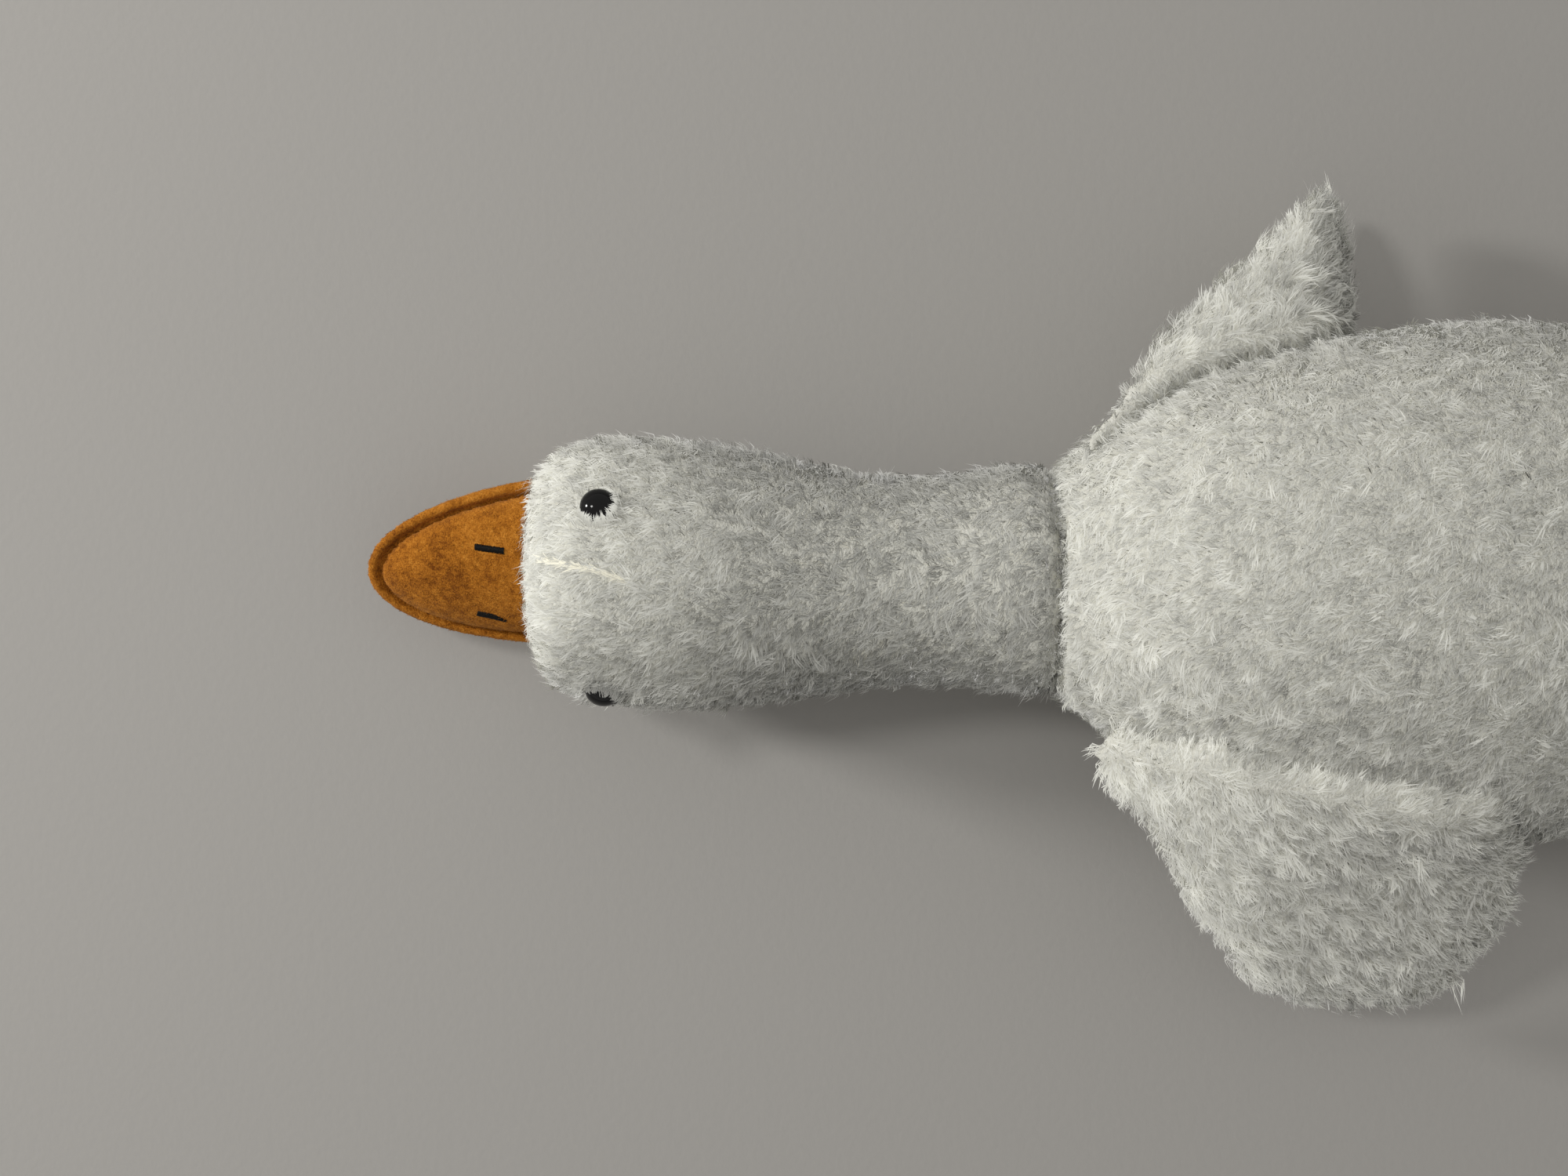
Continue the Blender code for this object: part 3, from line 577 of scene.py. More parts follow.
def start_cover(node):
    """A furry solid's cover before it is puffed: rounded, and set in by the depth of the pile."""
    piece = solid_copy(node, node + "_cover")
    add_voxels(piece, COVER_VOXEL)
    smoothed(piece, 2)
    mesh = settle(piece)
    points = places(mesh)
    move_to(mesh, points + cover_inset(node, points, normals(mesh)))
    add_voxels(piece, COVER_VOXEL)
    smoothed(piece, 2)
    settle(piece)
    return piece


def start_pad(node):
    """A velour pad before it is puffed."""
    piece = solid_copy(node, node + "_cover")
    add_voxels(piece, FOOT_VOXEL if node.startswith("foot") else PAD_VOXEL)
    smoothed(piece, 4)
    mesh = settle(piece)
    move_to(mesh, places(mesh) - normals(mesh) * PAD_INSET)
    return piece


def puff(piece, held):
    """Cloth blown up a little by its filling. Held points stay in place."""
    group = piece.vertex_groups.new(name="held")
    for index in np.flatnonzero(held > 0):
        group.add([int(index)], float(held[index]), "REPLACE")
    cloth = piece.modifiers.new("puff", "CLOTH")
    settings = cloth.settings
    settings.quality = 4
    settings.mass = 0.25
    settings.use_pressure = True
    settings.uniform_pressure_force = PUFF_PRESSURE
    settings.tension_stiffness = 12
    settings.compression_stiffness = 12
    settings.bending_stiffness = 0.4
    settings.vertex_group_mass = "held"
    settings.effector_weights.gravity = 0
    cloth.point_cache.frame_start = 1
    cloth.point_cache.frame_end = PUFF_FRAMES


def run_puffs(limits):
    """Puffs all the covers side by side. No point moves further than its piece's limit."""
    start = {piece: places(piece.data) for piece in limits}
    for piece in limits:
        puff(piece, held_points(piece))
    scene = bpy.context.scene
    for step in range(1, PUFF_FRAMES + 1):
        scene.frame_set(step)
    for piece, limit in limits.items():
        mesh = evaluated_mesh(piece)
        moved = places(mesh) - start[piece]
        length = np.linalg.norm(moved, axis=1)
        kept = np.minimum(1.0, limit / np.maximum(length, 1e-9))
        piece.modifiers.clear()
        piece.vertex_groups.clear()
        move_to(piece.data, start[piece] + moved * kept[:, None])
        bpy.data.meshes.remove(mesh)
    scene.frame_set(1)


def held_points(piece):
    """1 where a cover is sewn to its neighbour or lies on the floor, 0 where it is free."""
    points = places(piece.data)
    held = np.zeros(len(points))
    if piece.name in ("body_cover", "head_and_neck_cover"):
        held = fade(np.abs(points[:, 1] - SEAM_Y), 0.25 * SEAM_BAND, SEAM_BAND)
    return np.maximum(held, fade(points[:, 2], 0.0015, 0.004))


def finish_cover(piece, node, material):
    if node in FURRY:
        rounding = piece.modifiers.new("round", "SUBSURF")
        rounding.levels = 1
        rounding.render_levels = 1
    mesh = settle(piece)
    points = places(mesh)
    points[:, 2] = np.maximum(points[:, 2], COVER_FLOOR_GAP)
    move_to(mesh, points)
    mesh.shade_smooth()
    mesh.materials.clear()
    mesh.materials.append(material)
    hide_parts(node)
    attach(piece, "root")


def lock_kind(index, lock):
    """One curly lock: flat tapered fibres that share a root and lean over +X to a loose tip."""
    random = np.random.default_rng(PILE_SEED * 100 + index)
    points = []
    faces = []
    mapped = []
    sway = random.uniform(-0.55, 0.55)
    rise = lock["rise"] * random.uniform(0.75, 1.15)
    reach = lock["reach"] * random.uniform(0.75, 1.15)
    for fibre in range(lock["curled"] + lock["straight"]):
        stations = 3 if fibre < lock["curled"] else 2
        # The curled fibres are paler, painted highlight on the curls; the straight ones, which fill the gaps,
        # are darker, painted shade between them.
        paler = random.uniform(-0.10, 0.18) if stations == 3 else random.uniform(-0.20, 0.05)
        curve = fibre_curve(random, lock, reach, rise, sway)
        first = len(points)
        for station in range(stations - 1):
            place, along = bezier(*curve, station / (stations - 1))
            across = np.cross(along, (0.0, 0.0, 1.0)) + random.normal(0, 0.12, 3)
            across *= lock["fibre_width"] * FIBRE_TAPER[station] / 2 / np.linalg.norm(across)
            points += [place - across, place + across]
        points.append(curve[3])
        add_fibre(first, stations, paler, faces, mapped)
    mesh = mesh_from("lock", points, faces)
    strands = mesh.uv_layers.new(name="strand")
    strands.data.foreach_set("uv", np.array(mapped, np.float32).ravel())
    mesh.shade_smooth()
    return bpy.data.objects.new(f"lock_{index:02d}", mesh)


def fibre_curve(random, lock, reach, rise, sway):
    """The four points of one fibre's curve: root, two that bend it, and its tip."""
    angle = random.uniform(0, 2 * math.pi)
    radius = lock["width"] / 2 * math.sqrt(random.uniform(0, 1))
    root = np.array([radius * math.cos(angle), radius * math.sin(angle), -lock["rise"] * 0.14])
    loose = random.normal(0, 1, 3) * np.array([1.0, 1.0, 0.8]) * lock["loose"]
    end = np.array([reach, reach * sway, rise * 0.82]) + loose + root * 0.25
    lift = root + np.array([reach * 0.06, reach * sway * -0.25, rise * random.uniform(0.75, 1.05)])
    bend = end + np.array([-reach * 0.42, reach * sway * -0.1, rise * random.uniform(0.15, 0.42)])
    return root, lift, bend, end


def add_fibre(first, stations, tone, faces, mapped):
    """Adds a fibre's faces, from its pairs of points to its tip, and their corners' tone and height."""
    left = tone * TONE_SPAN - TONE_HALF_WIDTH
    right = tone * TONE_SPAN + TONE_HALF_WIDTH
    for station in range(stations - 1):
        corner = first + station * 2
        low = station / (stations - 1)
        high = (station + 1) / (stations - 1)
        mapped += [(left, low), (right, low)]
        if station < stations - 2:
            faces.append((corner, corner + 1, corner + 3, corner + 2))
            mapped += [(right, high), (left, high)]
        else:
            faces.append((corner, corner + 1, corner + 2))
            mapped.append((tone * TONE_SPAN, high))


def bezier(start, lift, bend, end, t):
    """A point on a cubic curve and its direction there."""
    s = 1 - t
    place = s ** 3 * start + 3 * s * s * t * lift + 3 * s * t * t * bend + t ** 3 * end
    along = 3 * s * s * (lift - start) + 6 * s * t * (bend - lift) + 3 * t * t * (end - bend)
    return place, along / np.linalg.norm(along)


def lock_collection(name, lock):
    locks = bpy.data.collections.new(name)
    for index in range(LOCK_KINDS):
        locks.objects.link(lock_kind(index, lock))
    return locks


def growing_tree(name, inputs, output):
    """A geometry tree with one output and named inputs of given kinds, and the inputs' sockets."""
    group = bpy.data.node_groups.new(name, "GeometryNodeTree")
    for label, kind in inputs.items():
        group.interface.new_socket(label, in_out="INPUT", socket_type="NodeSocket" + kind)
    group.interface.new_socket(output, in_out="OUTPUT", socket_type="NodeSocketGeometry")
    tree = Tree(group)
    return tree, tree.node("NodeGroupInput").outputs


def pile_tree(name, locks, material):
    """Plants locks on a cover, turned along its lay, and joins them into one mesh."""
    inputs = {"Cover": "Geometry", "Spacing": "Float", "Seed": "Int", "Turn": "Float", "Tilt": "Float"}
    tree, given = growing_tree(name, inputs, "Pile")
    spacing = Number(tree, given["Spacing"])
    seed = Number(tree, given["Seed"])
    turn = Number(tree, given["Turn"])
    tilt = Number(tree, given["Tilt"])
    density = 0.9 / (spacing * spacing)
    cover = named(tree, "patch", "FLOAT")
    planted = tree.node("GeometryNodeDistributePointsOnFaces", {"distribute_method": "POISSON"},
                        {"Mesh": given["Cover"], "Distance Min": spacing, "Density Max": density,
                         "Density Factor": cover, "Seed": seed})
    tufted = tree.out("ShaderNodeVectorMath", {"operation": "ADD"},
                      {0: planted.outputs["Normal"], 1: named(tree, "relief", "FLOAT_VECTOR")})
    facing = tree.out("ShaderNodeVectorMath", {"operation": "NORMALIZE"}, {0: tufted})
    outward = {"Geometry": planted.outputs["Points"], "Name": "outward", "Value": facing}
    points = tree.out("GeometryNodeStoreNamedAttribute", {"data_type": "FLOAT_VECTOR", "domain": "POINT"},
                      outward)
    upright = tree.out("FunctionNodeAlignRotationToVector", {"axis": "Z"},
                       {"Vector": planted.outputs["Normal"]})
    combed = tree.out("FunctionNodeAlignRotationToVector", {"axis": "X", "pivot_axis": "Z"},
                      {"Rotation": upright, "Vector": named(tree, "lay", "FLOAT_VECTOR")})
    sway = tree.out("ShaderNodeCombineXYZ", None,
                    {"X": spread(tree, tilt, 1), "Y": spread(tree, tilt, 2), "Z": spread(tree, turn, 3)})
    swaying = tree.out("FunctionNodeEulerToRotation", None, {0: sway})
    swayed = tree.out("FunctionNodeRotateRotation", {"rotation_space": "LOCAL"},
                      {"Rotation": combed, "Rotate By": swaying})
    kinds = tree.out("GeometryNodeCollectionInfo", None,
                     {"Collection": locks, "Separate Children": True, "Reset Children": True})
    kind = tree.out("FunctionNodeRandomValue", {"data_type": "INT"}, {4: 0, 5: LOCK_KINDS - 1, "Seed": 4})
    drawn = tree.number("FunctionNodeRandomValue", {"data_type": "FLOAT"}, {2: 0.0, 3: 1.0, "Seed": 5})
    size = (0.78 + drawn * 0.36 + drawn ** 9.0 * 0.40) * named(tree, "length", "FLOAT")
    set_locks = tree.out("GeometryNodeInstanceOnPoints", None,
                         {"Points": points, "Instance": kinds, "Pick Instance": True,
                          "Instance Index": kind, "Rotation": swayed, "Scale": size})
    plain = named(tree, "tone", "FLOAT")
    # Longer locks get a whiter tone: painted light on the locks that stand out, on top of a random tone for
    # each lock.
    varied_and_lit = ((drawn - 0.5) * 0.42 + spread(tree, 0.12, 6)) * (plain * 0.65 + 0.35)
    tone = (plain + varied_and_lit).clipped()
    toned = tree.out("GeometryNodeStoreNamedAttribute", {"data_type": "FLOAT", "domain": "INSTANCE"},
                     {"Geometry": set_locks, "Name": "lock_tone", "Value": tone})
    joined = tree.out("GeometryNodeRealizeInstances", None, {"Geometry": toned})
    soft = soft_normals(tree, joined)
    mapped = strand_map(tree, above_floor(tree, soft))
    dressed = tree.out("GeometryNodeSetMaterial", None, {"Geometry": mapped, "Material": material})
    tree.node("NodeGroupOutput", None, {"Pile": dressed})
    return tree.tree


def above_floor(tree, mesh):
    """Lifts what would reach below the floor."""
    place = tree.out("GeometryNodeInputPosition")
    parts = tree.node("ShaderNodeSeparateXYZ", None, {0: place}).outputs
    above = Number(tree, parts["Z"]).at_least(FLOOR_GAP)
    clear = tree.out("ShaderNodeCombineXYZ", None, {"X": parts["X"], "Y": parts["Y"], "Z": above})
    return tree.out("GeometryNodeSetPosition", None, {"Geometry": mesh, "Position": clear})


def strand_map(tree, mesh):
    """Stores the strand map: each lock's tone and its fibres' own across, root to tip along."""
    strand = tree.node("ShaderNodeSeparateXYZ", None, {0: named(tree, "strand", "FLOAT_VECTOR")}).outputs
    across = named(tree, "lock_tone", "FLOAT") * TONE_SPAN + TONE_START + Number(tree, strand["X"])
    along = Number(tree, strand["Y"]) * (1 - 2 * MAP_MARGIN) + MAP_MARGIN
    spot = tree.out("ShaderNodeCombineXYZ", None, {"X": across, "Y": along})
    return tree.out("GeometryNodeStoreNamedAttribute", {"data_type": "FLOAT2", "domain": "CORNER"},
                    {"Geometry": mesh, "Name": "OFBake", "Value": spot})


def soft_normals(tree, mesh):
    """Turns each fibre's shading most of the way to its tuft's, as light that seeps through it does."""
    outward = named(tree, "outward", "FLOAT_VECTOR")
    own = tree.out("GeometryNodeInputNormal", name="Normal")
    flat = tree.out("GeometryNodeInputNormal", name="True Normal")
    facing = tree.number("ShaderNodeVectorMath", {"operation": "DOT_PRODUCT"}, {0: flat, 1: outward}, "Value")
    side = tree.number("ShaderNodeMath", {"operation": "SIGN"}, {0: facing})
    leaning = tree.out("ShaderNodeVectorMath", {"operation": "SCALE"}, {0: outward, "Scale": side * 3.6})
    both = tree.out("ShaderNodeVectorMath", {"operation": "ADD"}, {0: leaning, 1: own})
    soft = tree.out("ShaderNodeVectorMath", {"operation": "NORMALIZE"}, {0: both})
    return tree.out("GeometryNodeSetMeshNormal", {"mode": "FREE", "domain": "CORNER"},
                    {"Mesh": mesh, "Custom Normal": soft})


def named(tree, name, kind):
    """What combing or growing has stored under a name."""
    return tree.number("GeometryNodeInputNamedAttribute", {"data_type": kind}, {"Name": name})


def spread(tree, amount, seed):
    """A random number from minus to plus an amount, for each point."""
    drawn = tree.number("FunctionNodeRandomValue", {"data_type": "FLOAT"}, {2: -1.0, 3: 1.0, "Seed": seed})
    return drawn * amount


def grow(name, cover, tree, values):
    """Runs a growing tree on a cover and returns what it grew as a plain mesh piece."""
    piece = linked(name, cover.data)
    grower = piece.modifiers.new("grow", "NODES")
    grower.node_group = tree
    for item in tree.interface.items_tree:
        if item.item_type == "SOCKET" and item.in_out == "INPUT" and item.name in values:
            grower[item.identifier] = values[item.name]
    mesh = evaluated_mesh(piece)
    piece.modifiers.clear()
    piece.data = mesh
    drop_attributes(mesh)
    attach(piece, "root")
    return piece


def drop_attributes(mesh):
    """Clears what only the growing needed."""
    for name in ("cover", "patch", "lay", "length", "tone", "relief", "lock_tone", "strand", "outward"):
        if name in mesh.attributes:
            mesh.attributes.remove(mesh.attributes[name])


def keep_patch(mesh, start, end):
    """Lets only the pile between two places along Y grow."""
    along = places(mesh)[:, 1]
    share = np.empty(len(along), np.float32)
    mesh.attributes["cover"].data.foreach_get("value", share)
    if "patch" not in mesh.attributes:
        mesh.attributes.new("patch", "FLOAT", "POINT")
    inside = (along >= start) & (along < end)
    mesh.attributes["patch"].data.foreach_set("value", np.where(inside, share, 0.0).astype(np.float32))


def store(mesh, name, values):
    """Stores a number or a vector for each point, for a growing tree to read."""
    kind = "FLOAT_VECTOR" if np.ndim(values) == 2 else "FLOAT"
    field = "vector" if kind == "FLOAT_VECTOR" else "value"
    layer = mesh.attributes.new(name, kind, "POINT")
    layer.data.foreach_set(field, np.asarray(values, np.float32).ravel())


class Combing:
    """How pile grows at each point of a cover: where, which way it lies, how long and how white."""

    def __init__(self, mesh, node):
        self.points = places(mesh)
        self.out = normals(mesh)
        count = len(self.points)
        self.share = np.full(count, 1.0)
        self.lay = np.tile(np.array(BACK_LAY), (count, 1))
        self.length = np.full(count, 1.0)
        self.tone = np.full(count, PILE_TONE_AND_PAINTED_LIGHT[node])

    def apart_from(self, node):
        """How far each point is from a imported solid."""
        return distances(self.points, surface_of(node), 0.02)

    def sew(self, sewn, tone):
        """Shortens the pile at a seam and lowers its tone there, towards the cream of its backing; in a
        wing's crease this is also painted shade.
        """
        self.tone -= tone * sewn
        self.length *= 1 - SEWN_LENGTH * sewn


def comb(cover, node):
    """Combs the pile of a furry cover and stores how it grows."""
    mesh = cover.data
    pile = Combing(mesh, node)
    thin_out(pile)
    if node == "head_and_neck":
        comb_head(pile)
    if node.startswith("wing"):
        comb_wing(pile, node)
    if node == "body":
        for wing in OUTWARDS:
            comb_beside_wing(pile, wing)
    for size, field, strength in LAY_WANDER:
        pile.lay += wander(pile.points, size, field) * strength
    # Painted light: the pile is whiter where the cover faces sideways.
    if node in ("body", "head_and_neck"):
        pile.tone += SIDE_PAINTED_LIGHT * fade(np.abs(pile.out[:, 2]), 0.05, 0.75)
    # Tufts that stand up together are longer and whiter, the ones between shorter and darker: the tone is
    # painted light and shade.
    tuft = wander(pile.points, TUFT_SIZE, 4.0)[:, 0]
    pile.length *= 1 + TUFT_LENGTH * tuft
    pile.tone += TUFT_PAINTED_LIGHT_AND_SHADE * tuft * (0.35 + 0.65 * pile.tone)
    if node in ("body", "head_and_neck"):
        pile.sew(fade(np.abs(pile.points[:, 1] - SEAM_Y), *NECK_SEAM_SPAN), NECK_SEAM_TONE)
    if node == "head_and_neck":
        part_at_crown(pile)
    store(mesh, "cover", np.clip(pile.share, 0.0, 1.0))
    store(mesh, "lay", pile.lay)
    store(mesh, "length", pile.length)
    store(mesh, "relief", wander(pile.points, TUFT_SIZE * 0.9, 12.0) * TUFT_RELIEF)
    store(mesh, "tone", pile.tone + wander(pile.points, 0.012, 9.0)[:, 0] * 0.16)


def thin_out(pile):
    """Plants fewer locks below and at the rear, and none where the cover lies on the floor."""
    down = -pile.out[:, 2]
    pile.share *= 1.0 - 0.62 * smooth_step(down, 0.15, 0.55)
    pile.share *= 1.0 - 0.35 * smooth_step(pile.points[:, 1], *REAR_SPAN)
    pile.share *= 1.0 - fade(pile.points[:, 2], 0.0015, 0.0035) * smooth_step(down, 0.5, 0.8)


def comb_head(pile):
    """Lays the pile of the face forwards, paints the head's shade onto the neck as greyer pile and leaves the
    beak and the eyes free.
    """
    along = pile.points[:, 1] - SEAM_Y
    pile.lay += np.outer(fade(along, *FACE_SPAN), FACE_LAY)
    pile.tone -= NECK_PAINTED_SHADE * smooth_step(along, *NECK_SPAN)
    for pad in ("beak_upper", "beak_lower"):
        pile.share *= smooth_step(pile.apart_from(pad), *BEAK_EDGE_SPAN)
    for side in ("left", "right"):
        comb_round_eye(pile, side)


def comb_round_eye(pile, side):
    """Plants nothing under an eye, and leans the pile on the inner half of its rim over it."""
    back, axis, radius, _ = eye_axis(side)
    away = pile.points - back
    near = fade(np.linalg.norm(away, axis=1), *EYE_SPAN)
    away -= np.outer(away @ axis, axis)
    apart = np.linalg.norm(away, axis=1)
    outwards = away / np.maximum(apart, 1e-6)[:, None]
    pile.share *= 1 - near * fade(apart / radius, *EYE_RIM_SPAN)
    lean = near * smooth_step(outwards @ inner_way(side), -0.1, 0.6) * fade(apart, *EYE_LEAN_SPAN)
    pile.lay -= outwards * (lean * 3.0)[:, None]


def comb_wing(pile, node):
    """Lays the pile of a wing outwards and back, longer at its rim, with cream and painted shade in its
    crease and painted light towards its tip.
    """
    mirror = OUTWARDS[node]
    x, y, _ = pile.points.T
    apart = pile.apart_from("body")
    sewn = fade(apart, *WING_SEWN_SPAN)
    crease_cream_and_shade = fade(apart, *WING_CREAM_AND_SHADE_SPAN[node]) * (1 - 0.8 * smooth_step(y, *CREASE_END_SPAN))
    rim = fade(np.abs(pile.out[:, 2]), 0.2, 0.7) * (1 - sewn)
    pile.lay[:] = np.array(WING_LAY) * (mirror, 1.0, 1.0)
    pile.lay[:, 0] -= mirror * 2.0 * sewn
    # Painted light towards the tip; cream and painted shade in the crease.
    pile.tone += WING_TIP_PAINTED_LIGHT * smooth_step(np.abs(x), *WING_TIP_SPAN)
    pile.tone -= CREASE_CREAM_AND_SHADE[node] * crease_cream_and_shade
    pile.length *= 1.08 * (1 - SEWN_LENGTH * sewn) * (1 + 0.22 * rim)


def comb_beside_wing(pile, wing):
    """Turns the body's pile into the crease beside a wing, with a lower tone there that is cream and painted
    shade.
    """
    sewn = fade(pile.apart_from(wing), *BODY_SEWN_SPAN)
    pile.sew(sewn, CREASE_CREAM_AND_SHADE[wing] * CREASE_ON_BODY[wing])
    pile.lay[:, 0] += OUTWARDS[wing] * 1.6 * sewn


def part_at_crown(pile):
    """Lays the pile along the crown seam, and parts it to both sides beside the seam."""
    side, apart = beside_line(pile.points[:, :2], CROWN_SEAM)
    above = smooth_step(pile.out[:, 2], 0.3, 0.6)
    sewn = fade(apart, *CROWN_SEAM_SPAN) * above
    parted = fade(apart, *CROWN_PARTING_SPAN) * above - sewn
    pile.tone -= CROWN_SEAM_TONE * sewn
    pile.lay = pile.lay * (1 - sewn)[:, None] + np.outer(sewn, CROWN_LAY)
    pile.lay[:, 0] += side * parted.clip(0.0, 1.0) * 1.2


def comb_nap(pad):
    """Stores how the nap of a velour pad grows: its lay, towards the pad's tip, and its blotches."""
    mesh = pad.data
    points = places(mesh)
    out = normals(mesh)
    count = len(points)
    beak = pad.name.startswith("beak")
    share = 1.0 - smooth_step(-out[:, 2], 0.2, 0.6) * (0.75 if beak else 1.0)
    share *= smooth_step(points[:, 2], 0.0015, 0.0030)
    lay = np.tile(np.array([0.15, -1.0 if beak else 1.0, 0.0]), (count, 1))
    lay += wander(points, 0.010, 21.0) * 0.9
    tone = np.full(count, NAP_TONE)
    for size, field, strength in NAP_BLOTCHES:
        tone += wander(points, size, field)[:, 0] * strength
    # Painted shade: the nap is darker in the groove where the two pads meet.
    for node, other in (("beak_upper", "beak_lower"), ("beak_lower", "beak_upper")):
        if pad.name.startswith(node):
            tone -= PAD_SEAM_PAINTED_SHADE * fade(distances(points, surface_of(other), 0.01), *PAD_SEAM_SPAN)
    # Painted shade: a darker patch for the shade of a dent in the pad.
    spot = np.linalg.norm((points[:, :2] - np.array(DENT_SHADE_SPOT)) / (1.0, DENT_SHADE_LENGTH), axis=1)
    tone -= DENT_PAINTED_SHADE * np.exp(-(spot / DENT_SHADE_REACH) ** 2)
    store(mesh, "cover", share)
    store(mesh, "lay", lay)
    store(mesh, "length", np.full(count, 1.0))
    store(mesh, "relief", np.zeros((count, 3)))
    store(mesh, "tone", tone)


def beside_line(points, line):
    """Which side of a line of points each point is on, as -1 or 1 along X, and how far from it."""
    apart = np.full(len(points), 1.0)
    side = np.zeros(len(points))
    corners = np.array(line)
    for first, second in zip(corners, corners[1:]):
        run = second - first
        share = np.clip((points - first) @ run / (run @ run), 0.0, 1.0)
        away = points - first - share[:, None] * run
        gap = np.linalg.norm(away, axis=1)
        nearer = gap < apart
        apart[nearer] = gap[nearer]
        side[nearer] = np.sign(away[nearer, 0])
    return side, apart


def eye_axis(side):
    """The back of an eye's dome, the way it looks, its radius and its height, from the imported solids."""
    eye = np.unique(np.round(places(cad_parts["eye_" + side].data), 6), axis=0)
    washer = np.unique(np.round(places(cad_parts["eye_washer_" + side].data), 6), axis=0)
    middle = washer.mean(axis=0)
    axis = eye.mean(axis=0) - middle
    axis /= np.linalg.norm(axis)
    heights = (eye - middle) @ axis
    radii = np.linalg.norm(eye - middle - np.outer(heights, axis), axis=1)
    widest = heights[radii > radii.max() - 1e-5].mean()
    return middle + axis * widest, axis, radii.max(), heights.max() - widest


def inner_way(side):
    """The way from an eye towards the middle and the back of the head."""
    return np.array([-0.7 if side == "left" else 0.7, 0.7, 0.0])


def make_eye(side, material):
    """A polished dome with a rolled edge, a flat back and a stem into the head."""
    back, axis, radius, height = eye_axis(side)
    turn = Vector(axis).to_track_quat("Z", "Y").to_matrix().to_4x4()
    place = Matrix.Translation(back) @ turn
    flat = radius - EYE_EDGE
    profile = [(0.0, -EYE_STEM_LENGTH), (EYE_STEM_RADIUS, -EYE_STEM_LENGTH), (EYE_STEM_RADIUS, -EYE_BACK),
               (flat, -EYE_BACK)]
    for angle in np.linspace(0.3, math.pi / 2, 4):
        profile.append((flat + EYE_EDGE * math.sin(angle), -EYE_EDGE * math.cos(angle) * 0.8))
    for row in range(1, EYE_DOME_ROWS):
        angle = math.pi / 2 * row / EYE_DOME_ROWS
        profile.append((radius * math.cos(angle), height * math.sin(angle)))
    profile.append((0.0, height))
    work = bmesh.new()
    corners = [work.verts.new((r, 0.0, h)) for r, h in profile]
    edges = [work.edges.new(pair) for pair in zip(corners, corners[1:])]
    bmesh.ops.spin(work, geom=corners + edges, cent=(0, 0, 0), axis=(0, 0, 1), angle=2 * math.pi,
                   steps=EYE_SIDES, use_merge=True)
    bmesh.ops.remove_doubles(work, verts=work.verts, dist=1e-6)
    bmesh.ops.recalc_face_normals(work, faces=work.faces)
    mesh = bpy.data.meshes.new("button_eye_" + side)
    work.to_mesh(mesh)
    work.free()
    mesh.transform(place)
    mesh.shade_smooth()
    mesh.materials.append(material)
    piece = linked("button_eye_" + side, mesh)
    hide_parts("eye_" + side)
    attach(piece, "root")


def strand_piece(name, strands, width, material):
    """Tapered strands as one piece. Each is a curve's four points, the way out there, and a tone."""
    points = []
    faces = []
    mapped = []
    facing = []
    for curve, outward, tone in strands:
        first = len(points)
        for station in range(STRAND_STATIONS - 1):
            place, along = bezier(*curve, station / (STRAND_STATIONS - 1))
            across = np.cross(along, outward)
            across *= width / 2 / np.linalg.norm(across)
            points += [place - across, place + across]
        points.append(curve[3])
        facing += [outward] * (len(points) - first)
        add_fibre(first, STRAND_STATIONS, tone, faces, mapped)
    mesh = mesh_from(name, points, faces)
    layer = mesh.uv_layers.new(name="OFBake")
    spots = np.array(mapped) * (1.0, 1 - 2 * MAP_MARGIN) + (TONE_START, MAP_MARGIN)
    layer.data.foreach_set("uv", spots.astype(np.float32).ravel())
    mesh.materials.append(material)
    mesh.shade_smooth()
    mesh.normals_split_custom_set_from_vertices([tuple(way) for way in facing])
    piece = linked(name, mesh)
    piece.visible_shadow = False
    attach(piece, "root")


def make_fringe(side, material):
    """Tufts of pile round the inner half of an eye that lean over its rim."""
    back, axis, radius, height = eye_axis(side)
    inward = inner_way(side)
    inward -= axis * (inward @ axis)
    inward /= np.linalg.norm(inward)
    beside = np.cross(axis, inward)
    random = np.random.default_rng(FRINGE["seed"])
    half_turn = math.radians(FRINGE["half_turn"])
    strands = []
    for tuft in range(FRINGE["tufts"]):
        turn = half_turn * (2 * (tuft + random.uniform(0.1, 0.9)) / FRINGE["tufts"] - 1)
        fading = 1 - 0.8 * (abs(turn) / half_turn) ** 2
        reach = FRINGE["reach"] * fading * random.uniform(0.15, 1.0) + 0.0002
        tip_turn = turn + random.uniform(-FRINGE["bent"], FRINGE["bent"])
        tone = FRINGE["tone"] + random.uniform(-FRINGE["tones"], FRINGE["tones"])
        for _ in range(FRINGE["strands"]):
            root_turn = turn + random.uniform(-FRINGE["loose"], FRINGE["loose"])
            end_turn = tip_turn + random.uniform(-FRINGE["loose"], FRINGE["loose"])
            root_way = inward * math.cos(root_turn) + beside * math.sin(root_turn)
            end_way = inward * math.cos(end_turn) + beside * math.sin(end_turn)
            away = radius - reach * random.uniform(0.3, 1.1)
            over = height * math.sqrt(max(0.0, 1 - (away / radius) ** 2)) + random.uniform(0.0002, 0.0007)
            root = back + root_way * (radius + random.uniform(0.0007, 0.0026)) - axis * FRINGE["root"]
            lift = root + axis * random.uniform(0.0042, 0.0052)
            end = back + end_way * away + axis * over
            bend = back + end_way * (radius + 0.0002) + axis * (over + 0.0010)
            strands.append(((root, lift, bend, end), axis, tone))
    strand_piece("eye_fringe_" + side, strands, FRINGE["width"], material)


